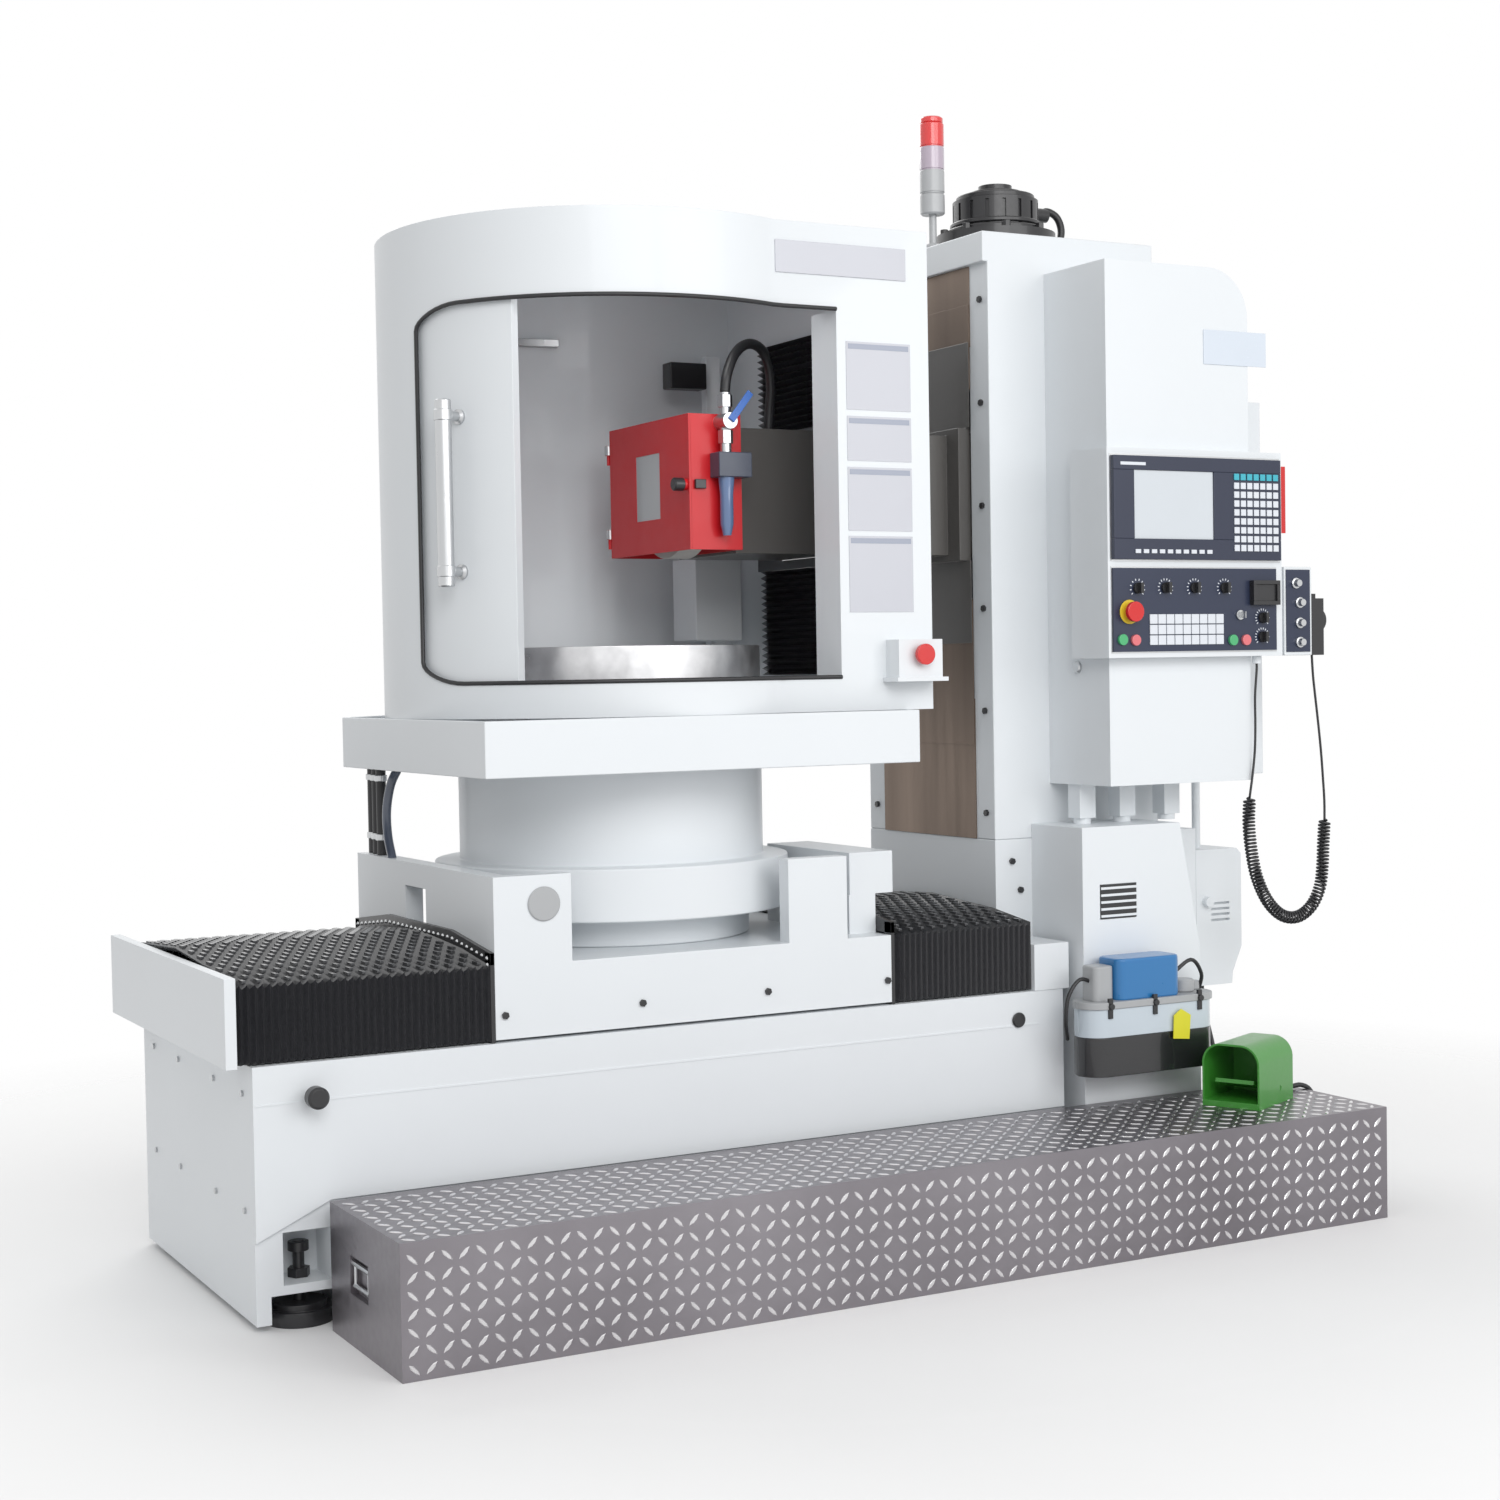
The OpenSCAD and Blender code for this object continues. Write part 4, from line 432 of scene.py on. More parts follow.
# Guide rails and end covers. The profile rails are ground steel, bolted down in
# the bed's channel and on the column. The covers are folded from white sheet.
dressed("guide_rails", steel, 1)
dressed("end_covers", white, 1.2)


# Bellows on the bed. Black coated cloth folded over stiffeners, glossy at the
# folds, with a black steel frame at the saddle that is riveted all along its edge.
pleat_black = Paint("pleat_cloth", "fold_fabric", coat_weight=0.35)
weave = pleat_black.noise(260)
pleat_black.set(base_color=pleat_black.mix(weave, (0.010, 0.010, 0.012), (0.032, 0.033, 0.038)),
                roughness=(weave * 0.3 + 0.22).clamp())
pleat_black.bump(weave, 0.15)
stud_grey = plain_finish("stud_grey", "fold_fabric", (0.055, 0.057, 0.062), 0.3, 0.1, 200, coat_weight=0.4)
BELLOWS_Y0, BELLOWS_W, BELLOWS_Z, SIDE_H, RISE = 9, 722, 455, 135, 32
SHOULDER, SHOULDER_RISE, CLOTH = 0.18, 0.55, 2.5
FOLD_PITCH, FOLD_DEPTHS = 13, (0, 5, 8, 5)
TAB_ROWS, TAB_HALF_X, TAB_HALF_Y = 11, 3.5, 12


def gable(depth):
    """The cloth's line across the bed, so far in from the outermost one."""
    y0, y1, eaves = BELLOWS_Y0, BELLOWS_Y0 + BELLOWS_W, BELLOWS_Z + SIDE_H
    shoulder = eaves + RISE * SHOULDER_RISE - depth
    return [(y0 + depth, BELLOWS_Z), (y0 + depth, eaves - depth), (y0 + BELLOWS_W * SHOULDER, shoulder),
            (y0 + BELLOWS_W / 2, eaves + RISE - depth), (y1 - BELLOWS_W * SHOULDER, shoulder),
            (y1 - depth, eaves - depth), (y1 - depth, BELLOWS_Z)]


def hoop(x, depth):
    """The bellows' section at x, out along the outside and back along the inside."""
    return [(x, y, z) for y, z in gable(depth) + gable(depth + CLOTH)[::-1]]


def risen(share):
    """How far the gable has risen at a share of the width in from its side."""
    if share < SHOULDER:
        return RISE * (SHOULDER_RISE * share / SHOULDER)
    return RISE * (SHOULDER_RISE + (1 - SHOULDER_RISE) * (share - SHOULDER) / (0.5 - SHOULDER))


def pleated(name, node, x0, x1, fixed, moving):
    """Folded cloth with rows of tabs, stretched between the bed's end and the saddle."""
    folds = round((x1 - x0) / FOLD_PITCH)
    rings = [hoop(x0 + (x1 - x0) * i / (folds * 4), FOLD_DEPTHS[i % 4]) for i in range(folds * 4 + 1)]
    piece = Shape(name).rings(rings).made(pleat_black, None, replaces=node, smooth=20)
    at(fixed, 370, 500)
    at(moving, 370, 500)
    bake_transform(piece)
    tabs = Shape(name + "_studs")
    for i in range(1, folds):
        x = x0 + (x1 - x0) * i / folds
        for k in range(TAB_ROWS):
            y = BELLOWS_Y0 + BELLOWS_W * (0.04 + 0.92 * (k + 0.5 * (i % 2)) / TAB_ROWS)
            share = min(y - BELLOWS_Y0, BELLOWS_Y0 + BELLOWS_W - y) / BELLOWS_W
            top = BELLOWS_Z + SIDE_H + risen(share)
            tabs.box((x - TAB_HALF_X, y - TAB_HALF_Y, top - 4), (x + TAB_HALF_X, y + TAB_HALF_Y, top + 1.2))
    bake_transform(tabs.made(stud_grey, None, replaces=node), "machine", "saddle_unit",
             start=at(fixed, 370, 500), end=at(moving, 370, 500))


pleated("bellows_left_cloth", "bellows_left", -29, 432, -29, 432)
pleated("bellows_right_cloth", "bellows_right", 1268, 1589, 1589, 1268)

PLATE_T, PLATE_Y0, PLATE_Y1, PLATE_LEG, PLATE_Z0, PLATE_EAVES = 8, 6, 734, 24, 452.5, 612
RIVET = [(0, 4), (0.6, 3.2), (1, 1.5)]
RIVET_PITCH, RIVET_H = 24, 3


def frame_plate(name, node, x, side, body):
    """The steel frame at the cloth's end, with rivets on the side that faces it."""
    plate = Shape(name)
    for y in (PLATE_Y0, PLATE_Y1 - PLATE_LEG):
        plate.box((x, y, PLATE_Z0), (x + PLATE_T, y + PLATE_LEG, PLATE_EAVES))
    plate.prism([(PLATE_Y0, 590), (PLATE_Y1, 590), (PLATE_Y1, PLATE_EAVES), (540, 636), (200, 636),
                 (PLATE_Y0, PLATE_EAVES)], "x", x, x + PLATE_T)
    plate.made(black, body, 0.6, replaces=node)
    face = x if side < 0 else x + PLATE_T
    crest = [(y, 600 + min(22, 22 * min(y - PLATE_Y0, PLATE_Y1 - y) / 194))
             for y in range(20, 740, RIVET_PITCH)]
    rivets = Shape(name + "_rivets")
    for y, z in crest + [(18, 470 + k * RIVET_PITCH) for k in range(6)]:
        rivets.turned((face, y, z), (face + side * RIVET_H, y, z), RIVET, 10)
    rivets.made(steel, body)


frame_plate("bellows_left_frame", "bellows_left", 432, -1, "saddle_unit")
frame_plate("bellows_right_frame", "bellows_right", 1260, 1, "saddle_unit")


# Column base and column. White castings bolted on each other and to the bed. Rows
# of black hexagon screws hold the strips beside the ways and the base's panels.
dressed("column_base", white, 4)
dressed("column", white, 3)
SCREW_R, SCREW_H = 7, 6
STRIP_X, STRIP_Z, STRIP_PITCH = 1600, 800, 210
strip_screws = Shape("column_screws").screws(
    [(STRIP_X, y, STRIP_Z + k * STRIP_PITCH) for k in range(6) for y in (172, 600)],
    (-SCREW_H, 0, 0), SCREW_R)
strip_screws.screws([(x, 145, z) for x, z in ((1640, 700), (1660, 640), (1950, 640), (2000, 420))],
                    (0, -SCREW_H, 0), SCREW_R)
strip_screws.made(black, "machine", 0.5)


# Way covers. Spring steel plates, brown with oil, that slide behind one another
# in front of the column's ways and are wiped bright in vertical streaks.
cover = Paint("oiled_plates", "cover_steel", metallic=0.85)
streak = cover.noise(9, 4, (1, 1, 0.12))
wipe = cover.noise(40, 2, (1, 1, 0.05))
cover.set(base_color=cover.mix(streak, (0.10, 0.075, 0.06), (0.26, 0.20, 0.16)),
          roughness=(wipe * 0.3 + 0.25).clamp())
for node in ("fixed_way_covers", "way_cover_middle"):
    dressed(node, cover, 0.5)


# Motor on the column. A black servo motor on a stepped flange, bolted to the
# column's cap, with eight lugs round its foot and a short cable down to the cap.
dressed("z_motor", black, 2)
MOTOR_X, MOTOR_Y, COLUMN_TOP = 1790, 390, 1985
LUG_RING, LUG_R = 112, 9
stack = Shape("z_motor_stack")
for foot, high, r in ((44, 12, 106), (60, 10, 98), (116, 12, 84), (128, 8, 60)):
    z = COLUMN_TOP + foot
    stack.rod((MOTOR_X, MOTOR_Y, z), (MOTOR_X, MOTOR_Y, z + high), r, 40, 2)
for k in range(8):
    w = math.radians(22.5 + 45 * k)
    x, y = MOTOR_X + LUG_RING * math.cos(w), MOTOR_Y + LUG_RING * math.sin(w)
    stack.rod((x, y, COLUMN_TOP + 44), (x, y, COLUMN_TOP + 58), LUG_R, 6, 1)
stack.made(black, "machine", 0.6)
LOOP = [(1905, 390, 2084), (1925, 388, 2092), (1948, 384, 2080), (1958, 382, 2052), (1950, 382, 2020),
        (1932, 384, 2000), (1915, 388, 1989)]
Shape("z_motor_cable").sweep(smooth_line(LOOP, 6), 8, 14).made(black_rubber, "machine", smooth=70)
Shape("z_motor_bolts").screws([(1800, 300, 2028), (1800, 480, 2028), (1700, 390, 2028)], (0, 0, 6), 8).made(
    steel, "machine", 0.5)


# Cabinets. Folded white sheet steel boxes, the front one on three short legs,
# with a bare plate at the top right and a round lock on the left side.
dressed("cabinet", white, 3)
dressed("rear_cabinet", white, 3)
BADGE_FACE = -61
badge_sheet = plain_finish("badge_sheet", "white_paint", (0.66, 0.72, 0.80), 0.25, 0.06, 200, coat_weight=0.5)
Shape("cabinet_badge").raised(BADGE_FACE, 2.2, 1985, 2148, 1708, 1778).made(badge_sheet, "machine", 0.8)
Shape("cabinet_lock").turned((1739, 42, 1096), (1732, 42, 1096), [(0, 12), (0.7, 12), (1, 10)], 24).made(
    steel, "machine")


# Control panel. A white housing with a dark blue numeric unit above and a
# blue-black operator plate below, their keys standing a little proud.
navy = plain_finish("navy_plastic", "panel_plastic", (0.022, 0.028, 0.055), 0.36, 0.1, 200, 0.02)
plate_blue = plain_finish("operator_plate", "panel_plastic", (0.022, 0.030, 0.062), 0.32, 0.1, 200)
key_white = plain_finish("key_white", "panel_plastic", (0.70, 0.73, 0.78), 0.4, 0.03)
key_cyan = plain_finish("key_cyan", "panel_plastic", (0.05, 0.42, 0.52), 0.4, 0.03)
screen_grey = plain_finish("screen_film", "panel_plastic", (0.62, 0.66, 0.70), 0.16, 0.05, 60,
                           coat_weight=0.8)
dressed("panel_housing", white, 3)
dressed("side_box", white, 2)
FACE = -96
UNIT_X0, UNIT_X1, UNIT_Z0, UNIT_Z1, UNIT_OUT = 1721, 2147, 1308, 1513, 10
SCREEN_X0, SCREEN_X1, SCREEN_Z0, SCREEN_Z1 = 1772, 1972, 1349, 1485
unit = Shape("numeric_unit")
for side in ((UNIT_X0, UNIT_X1, UNIT_Z0, SCREEN_Z0), (UNIT_X0, UNIT_X1, SCREEN_Z1, UNIT_Z1),
             (UNIT_X0, SCREEN_X0, SCREEN_Z0, SCREEN_Z1), (SCREEN_X1, UNIT_X1, SCREEN_Z0, SCREEN_Z1)):
    unit.raised(FACE, UNIT_OUT, *side)
unit.made(navy, "machine", 1.2, replaces="panel_units")
Shape("screen").raised(FACE, 7, SCREEN_X0, SCREEN_X1, SCREEN_Z0, SCREEN_Z1, 1).made(
    screen_grey, "machine", 0.5)

KEY, KEY_OUT, KEY_PITCH_X, KEY_PITCH_Z, SOFT_KEY_PITCH = 13, 12.5, 17, 18, 20
keys, top_keys = Shape("keypad_keys"), Shape("keypad_top_keys")
for i in range(7):
    for j in range(9):
        x, z = 2023 + i * KEY_PITCH_X, 1326 + j * KEY_PITCH_Z
        (top_keys if j == 8 else keys).raised(FACE, KEY_OUT, x, x + KEY, z, z + KEY, UNIT_OUT)
for i in range(10):
    x = SCREEN_X0 + i * SOFT_KEY_PITCH
    keys.raised(FACE, KEY_OUT, x, x + KEY, 1320, 1328, UNIT_OUT)
keys.made(key_white, "machine", 0.6)
top_keys.made(key_cyan, "machine", 0.6)

PLATE_OUT, PLATE_X1, PLATE_LOW, PLATE_TOP = 5, 2137, 1125, 1291
STOP_X, STOP_Z = 1759, 1204
Shape("operator_plate").raised(FACE, PLATE_OUT, UNIT_X0, PLATE_X1, PLATE_LOW, PLATE_TOP).rod(
    (STOP_X, FACE - PLATE_OUT, STOP_Z), (STOP_X, FACE - PLATE_OUT - 0.4, STOP_Z), 20).made(
    plate_blue, "machine", 0.8, replaces="panel_units")
LAMP_KEY, LAMP_PITCH = 19, 21
lamps = Shape("operator_keys")
for i in range(9):
    for j in range(3):
        x, z = 1809 + i * LAMP_PITCH, 1138 + j * LAMP_PITCH
        lamps.raised(FACE, 7.5, x, x + LAMP_KEY, z, z + LAMP_KEY, PLATE_OUT)
lamps.made(key_white, "machine", 0.6)

# Each dial's middle and its number of ticks. A tick runs from 15 to 19 mm out.
DIALS = ((1780, 1251, 10), (1850, 1252, 12), (1923, 1252, 12), (2000, 1252, 12), (2099, 1191, 14),
         (2098, 1152, 14))
TICK = ((15, 1), (15, -1), (19, -1), (19, 1))
DIAL_FROM, DIAL_SPAN = -40, 260
ticks = Shape("dial_ticks")
for x, z, count in DIALS:
    for k in range(count):
        w = math.radians(DIAL_FROM + DIAL_SPAN * k / (count - 1))
        c, s = math.cos(w), math.sin(w)
        ticks.prism([(x + r * c - side * s, z + r * s + side * c) for r, side in TICK], "y",
                    FACE - PLATE_OUT - 0.4, FACE - PLATE_OUT + 0.1)
ticks.made(key_white, "machine")
Shape("panel_frame").raised(FACE, 1, 1718, 2140, 1122, 1294, 0.05).raised(
    FACE, 1, 1717, 2151, 1304, 1517, 0.05).made(steel, "machine")
Shape("unit_strip").raised(FACE, 10.6, 1738, 1800, 1494, 1500, 9.8).made(key_white, "machine")
COUNTER_X0, COUNTER_X1, COUNTER_Z0, COUNTER_Z1, RIM = 2066, 2136, 1217, 1267, 8
x0, x1, z0, z1 = COUNTER_X0 + RIM, COUNTER_X1 - RIM, COUNTER_Z0 + RIM, COUNTER_Z1 - RIM
counter = Shape("counter")
for side in ((COUNTER_X0, COUNTER_X1, COUNTER_Z0, z0), (COUNTER_X0, COUNTER_X1, z1, COUNTER_Z1),
             (COUNTER_X0, x0, z0, z1), (x1, COUNTER_X1, z0, z1)):
    counter.raised(FACE, 19, *side, PLATE_OUT)
counter.raised(FACE, 14, x0, x1, z0, z1, PLATE_OUT).made(black, "machine", 0.6)
yellow = plain_finish("yellow_plastic", "panel_plastic", (0.75, 0.55, 0.03), 0.4, 0.03)
Shape("estop_collar").rod((STOP_X, FACE - PLATE_OUT, STOP_Z), (STOP_X, FACE - 8, STOP_Z), 24, chamfer=1).made(
    yellow, "machine")


# Knobs, key and buttons. Moulded black grips, a chromed key, lit buttons of clear
# plastic and red mushroom heads, each pushed or turned in its own bore.
red_gloss = plain_finish("red_plastic", "stop_red", (0.62, 0.012, 0.012), 0.22, 0.04, 100, coat_weight=0.4)
for k in range(1, 7):
    grip_black = plain_finish("grip_black_%d" % k, "black_plastic", (0.02, 0.02, 0.022), 0.35)
    dressed("selector_%d" % k, grip_black, 0.6)
dressed("key_switch", steel, 0.4)
lit_green = plain_finish("green_lens", "button_green", (0.06, 0.42, 0.16), 0.2, coat_weight=0.5)
lit_red = plain_finish("red_lens", "button_red", (0.72, 0.16, 0.18), 0.2, coat_weight=0.5)
for k, lens in ((1, lit_green), (2, lit_red), (3, lit_green), (4, lit_red)):
    dressed("button_%d" % k, lens, 1)
dressed("panel_estop", red_gloss, 1.5)
dressed("main_switch", red_gloss, 1.5)


# Pendant. A black moulded handwheel box that hangs on the side box, whose front
# carries a blue-black plate with four small switches.
dressed("pendant", black, 3)
dressed("pendant_dial", black, 1.5)
Shape("side_box_plate").raised(FACE, 2, 2166, 2230, 1120, 1290).made(plate_blue, "machine", 0.6)
side_knobs = Shape("side_box_knobs")
for x, z in ((2190, 1262), (2200, 1222), (2200, 1180), (2200, 1140)):
    side_knobs.turned((x, FACE - 2, z), (x, FACE - 16, z), [(0, 11), (0.3, 11), (0.35, 8), (1, 7)], 24)
side_knobs.made(steel, "machine")


# Signal tower. Three lamp cups of coloured plastic stacked on a grey tube, with
# the red one on top, screwed to the column's cap by a round foot.
tower_red = plain_finish("tower_red", "tower_plastic", (0.75, 0.05, 0.05), 0.2, coat_weight=0.5)
tower_lilac = plain_finish("tower_lilac", "tower_plastic", (0.50, 0.42, 0.50), 0.2, coat_weight=0.5)
tower_grey = plain_finish("tower_grey", "tower_plastic", (0.45, 0.46, 0.47), 0.3)
TOWER_X, TOWER_Y, CUPS_AT, CUP_H = 1626, 385, 120, 49
CUP = [(0, 24), (0.06, 24), (0.061, 26), (0.97, 26), (1, 25)]


def tower_at(up):
    """The tower's axis, so far above the column's cap."""
    return TOWER_X, TOWER_Y, COLUMN_TOP + up


Shape("tower_foot").turned(tower_at(0), tower_at(14), [(0, 20), (0.7, 20), (1, 16)]).rod(
    tower_at(10), tower_at(76), 8).rod(tower_at(76), tower_at(CUPS_AT), 26, chamfer=3).made(
    tower_grey, "machine", replaces="signal_tower")
for k, (name, lens) in enumerate((("low", tower_grey), ("middle", tower_lilac), ("top", tower_red))):
    up = CUPS_AT + k * CUP_H
    Shape("tower_lamp_" + name).turned(tower_at(up), tower_at(up + CUP_H), CUP).made(lens, "machine")
up = CUPS_AT + 3 * CUP_H
Shape("tower_cap").rod(tower_at(up), tower_at(up + 14), 24.4, chamfer=3).made(tower_red, "machine")


# Junction box. A white sheet box on the column's base, with the steel conduit
# that brings its wires down from the cabinet.
dressed("junction_box", white, 2)


# Louvre. A pocket in the base's shelf that lets warm air out, with five white pressed
# blades across it. A black sheet behind the blades is painted shade for the pocket's
# dark inside.
SHELF_FACE, LOUVRE_X0, LOUVRE_X1 = -30, 1734, 1823
BLADE_Z, BLADE_H, BLADE_PITCH = 592, 5, 14
# A black sheet at the shelf's face: painted shade for the pocket's dark inside.
Shape("base_louvre_painted_shade").raised(SHELF_FACE, 0.4, LOUVRE_X0, LOUVRE_X1, 589, 657, -0.4).made(black, "machine")
blades = Shape("base_louvre_blades")
for k in range(5):
    z = BLADE_Z + BLADE_PITCH * k
    blades.raised(SHELF_FACE, 3, LOUVRE_X0, LOUVRE_X1, z, z + BLADE_H, 0.5)
blades.made(white, "machine", 0.5)


# Lubricator. A clear oil tank that hangs on the shelf, clamped under a grey lid,
# with a blue pump motor on the lid and two thin tubes that lead the oil away.
tank_clear = plain_finish("tank_clear", "lubricator_plastic", (0.55, 0.62, 0.68), 0.12, 0.1, 60,
                          coat_weight=0.6)
tank_black = plain_finish("tank_black", "lubricator_plastic", (0.015, 0.015, 0.017), 0.2, 0.1, 60,
                          coat_weight=0.5)
lid_grey = plain_finish("lid_grey", "lubricator_plastic", (0.40, 0.41, 0.42), 0.35)
pump_blue = plain_finish("pump_blue", "lubricator_plastic", (0.02, 0.17, 0.42), 0.3, 0.06, 90,
                         coat_weight=0.4)


def stadium(x0, x1, y0, y1, r=None, n=12):
    """A box's plan with its corners rounded, by default as far as they go."""
    r = r or (y1 - y0) / 2
    ring = []
    corners = ((x1 - r, y0 + r, -90), (x1 - r, y1 - r, 0), (x0 + r, y1 - r, 90), (x0 + r, y0 + r, 180))
    for cx, cy, w0 in corners:
        for k in range(n + 1):
            w = math.radians(w0 + 90 * k / n)
            ring.append((cx + r * math.cos(w), cy + r * math.sin(w)))
    return ring


TANK_X, TANK_L, TANK_Y0, TANK_Y1 = 1638, 318, -124, -36
TANK_FOOT, OIL_TOP, TANK_TOP, LID_TOP = 288, 366, 422, 436
tank_plan = stadium(TANK_X, TANK_X + TANK_L, TANK_Y0, TANK_Y1)
Shape("tank_low").prism(tank_plan, "z", TANK_FOOT, OIL_TOP).made(
    tank_black, "machine", 1.5, replaces="lubricator")
Shape("tank_high").prism(tank_plan, "z", OIL_TOP, TANK_TOP).made(tank_clear, "machine", 1)
lid_plan = stadium(TANK_X - 4, TANK_X + TANK_L + 4, TANK_Y0 - 3, TANK_Y1)
Shape("tank_lid").prism(lid_plan, "z", TANK_TOP, LID_TOP).made(lid_grey, "machine", 1.5)
clamps = Shape("tank_clamps")
for x in (TANK_X + 40, TANK_X + 150, TANK_X + 262):
    clamps.raised(TANK_Y0, 4, x, x + 10, 404, 444, -2)
    clamps.rod((x + 5, TANK_Y0 - 2, 428), (x + 5, TANK_Y0 - 9, 428), 6, 12)
clamps.made(black, "machine", 0.6)
TAG = [(TANK_X + 196, 352), (TANK_X + 236, 348), (TANK_X + 240, 396), (TANK_X + 216, 410),
       (TANK_X + 198, 398)]
tag_yellow = plain_finish("tag_yellow", "lubricator_plastic", (0.70, 0.66, 0.03), 0.4)
Shape("tank_tag").prism(TAG, "y", TANK_Y0 - 7, TANK_Y0 - 5).made(tag_yellow, "machine")
LEFT_TUBE = [(TANK_X + 40, -80, 470), (TANK_X + 2, -84, 480), (TANK_X - 26, -84, 448),
             (TANK_X - 30, -80, 400), (TANK_X - 12, -60, 360)]
RIGHT_TUBE = [(TANK_X + 230, -80, 470), (TANK_X + 276, -88, 500), (TANK_X + 306, -84, 470),
              (TANK_X + 312, -70, 438)]
tubes = Shape("tank_tubes")
for places in (LEFT_TUBE, RIGHT_TUBE):
    tubes.sweep(smooth_line(places, 6), 4, 10)
tubes.made(black_rubber, "machine", smooth=70)
Shape("pump_cap").rod((TANK_X + 262, -80, LID_TOP), (TANK_X + 262, -80, 462), 22, chamfer=3).rod(
    (TANK_X + 300, -66, LID_TOP), (TANK_X + 300, -66, 454), 12, chamfer=2).made(lid_grey, "machine")
Shape("pump_motor").prism(stadium(TANK_X + 72, TANK_X + 228, TANK_Y0 + 6, TANK_Y1 - 6, 18), "z",
                          LID_TOP - 2, 518).made(pump_blue, "machine", 5)
Shape("pump_head").prism(stadium(TANK_X + 24, TANK_X + 72, TANK_Y0 + 18, TANK_Y1 - 18, 14), "z",
                         LID_TOP - 2, 505).made(lid_grey, "machine", 4)


# Step. A box bent from checker plate, open underneath, with a bail handle in its
# end. The tread is dull and stained, and the raised lozenges are worn bright.
tread_steel = Paint("tread_plate", "step_plate", metallic=0.9)
stain = tread_steel.noise(2.2, 5)
brushed = tread_steel.noise(60, 2, (0.1, 1, 1))
bright_steel = plain_finish("worn_lozenges", "step_plate", (0.70, 0.69, 0.70), 0.24, 0.1, 60, metallic=0.9)
tread_steel.set(base_color=tread_steel.mix(stain, (0.12, 0.108, 0.12), (0.36, 0.34, 0.365)),
                roughness=(brushed * 0.25 + 0.24).clamp())
dressed("step_box", tread_steel, 2)
STEP_X0, STEP_X1, STEP_Y0, STEP_Y1, STEP_TOP = 117, 2162, -380, -36, 220
LOZENGE = [(-13, 0), (-6, 3.4), (6, 3.4), (13, 0), (6, -3.4), (-6, -3.4)]
LOZENGE_PITCH, LOZENGE_H, LOZENGE_CREST = 29, 1.4, 0.72
lozenges = Shape("step_lozenges")


def lozenge(i, j, u, v, place):
    """One lozenge at u, v on a face. Neighbours lean opposite ways."""
    tilt = math.radians(45 if (i + j) % 2 else -45)
    c, s = math.cos(tilt), math.sin(tilt)
    lozenges.rings([[place(u + share * (a * c - b * s), v + share * (a * s + b * c), h) for a, b in LOZENGE]
                    for share, h in ((1, 0), (LOZENGE_CREST, LOZENGE_H))])


def on_top(a, b, h):
    return a, b, STEP_TOP + h


def on_front(a, b, h):
    return a, STEP_Y0 - h, b


for i in range(int((STEP_X1 - STEP_X0) / LOZENGE_PITCH)):
    x = STEP_X0 + 20 + i * LOZENGE_PITCH
    for j in range(int((STEP_Y1 - STEP_Y0) / LOZENGE_PITCH)):
        lozenge(i, j, x, STEP_Y0 + 16 + j * LOZENGE_PITCH, on_top)
    for j in range(int(STEP_TOP / LOZENGE_PITCH)):
        lozenge(i, j, x, 18 + j * LOZENGE_PITCH, on_front)
lozenges.made(bright_steel, "machine")
dressed("step_handle", steel, 0.3)


# Foot pedal. A cast guard, painted green, over a plate that is hinged in it.
pedal_green = plain_finish("pedal_green", "pedal_green", (0.045, 0.26, 0.03), 0.36, 0.1, 90, 0.05,
                           coat_weight=0.3)
dressed("pedal_hood", pedal_green, 2.5)
dressed("pedal_plate", pedal_green, 1.5)


# Saddle and rotary base. White castings on the runner blocks, with black screws
# along the apron, a grey plug in the left post and, behind it, the tray's drain
# hoses in steel clips.
dressed("saddle", white, 3)
dressed("rotary_base", white, 4)
Shape("apron_screws").screws([(x, 5, 500) for x in (458, 727, 987, 1250)], (0, -5, 0), SCREW_R).made(
    black, "saddle_unit", 0.5)
grey_plug = plain_finish("grey_plug", "white_paint", (0.42, 0.43, 0.44), 0.35)
Shape("post_plug").turned((536, 5, 693), (536, 1, 693), [(0, 31), (0.6, 31), (1, 29)], 40).made(
    grey_plug, "saddle_unit")
dressed("drain_hoses", black_rubber, 0.5)
clips = Shape("hose_clips")
for k in range(3):
    x, y = 458 + 6 * k, 634 + 40 * k
    for z in (775, 893):
        clips.rod((x, y, z), (x, y, z + 12), 13 + k, 24, 1)
clips.made(steel, "saddle_unit")
clear_wrap = plain_finish("clear_wrap", "black_cable", (0.10, 0.12, 0.17), 0.2, 0.5, 300, coat_weight=0.6)
POST_HOSE = [(452, 560, 745), (440, 548, 790), (436, 540, 840), (444, 536, 890), (462, 536, 925)]
Shape("post_hose").sweep(smooth_line(POST_HOSE, 6), 9, 14).made(clear_wrap, "saddle_unit", smooth=70)


# Tray and hood. Folded and welded white sheet, the hood round with a flat front to
# the right. Bare plates are stuck on the flat, and the doorway has a black seal.
dressed("tray", white, 2)
dressed("hood", white, 2.5)
dressed("hood_estop_box", white, 2)
dressed("hood_estop", red_gloss, 1.5)
dressed("door_rails", steel, 1)
AXIS_X, AXIS_Y, HOOD_R, FLAT_Y = 850, 390, 440, -17
plate_sheet = plain_finish("plate_sheet", "white_paint", (0.47, 0.48, 0.53), 0.22, 0.04, 200, coat_weight=0.5)
plate_tint = plain_finish("plate_tint", "white_paint", (0.25, 0.28, 0.36), 0.22, 0.04, 200, coat_weight=0.5)
PLATES_X0, PLATES_X1 = 1166, 1308
for k, (z0, z1) in enumerate(((1590, 1718), (1494, 1578), (1362, 1482), (1208, 1352))):
    Shape("hood_plate_%d" % k).raised(FLAT_Y, 1.2, PLATES_X0, PLATES_X1, z0, z1, -0.3).made(
        plate_sheet, "saddle_unit")
    Shape("hood_plate_bar_%d" % k).raised(FLAT_Y, 1.6, PLATES_X0 + 4, PLATES_X1 - 4, z1 - 14, z1 - 4, 1).made(
        plate_tint, "saddle_unit")
Shape("hood_name_plate").raised(FLAT_Y, 2.5, 1016, 1300, 1838, 1898).made(plate_sheet, "saddle_unit", 0.6)
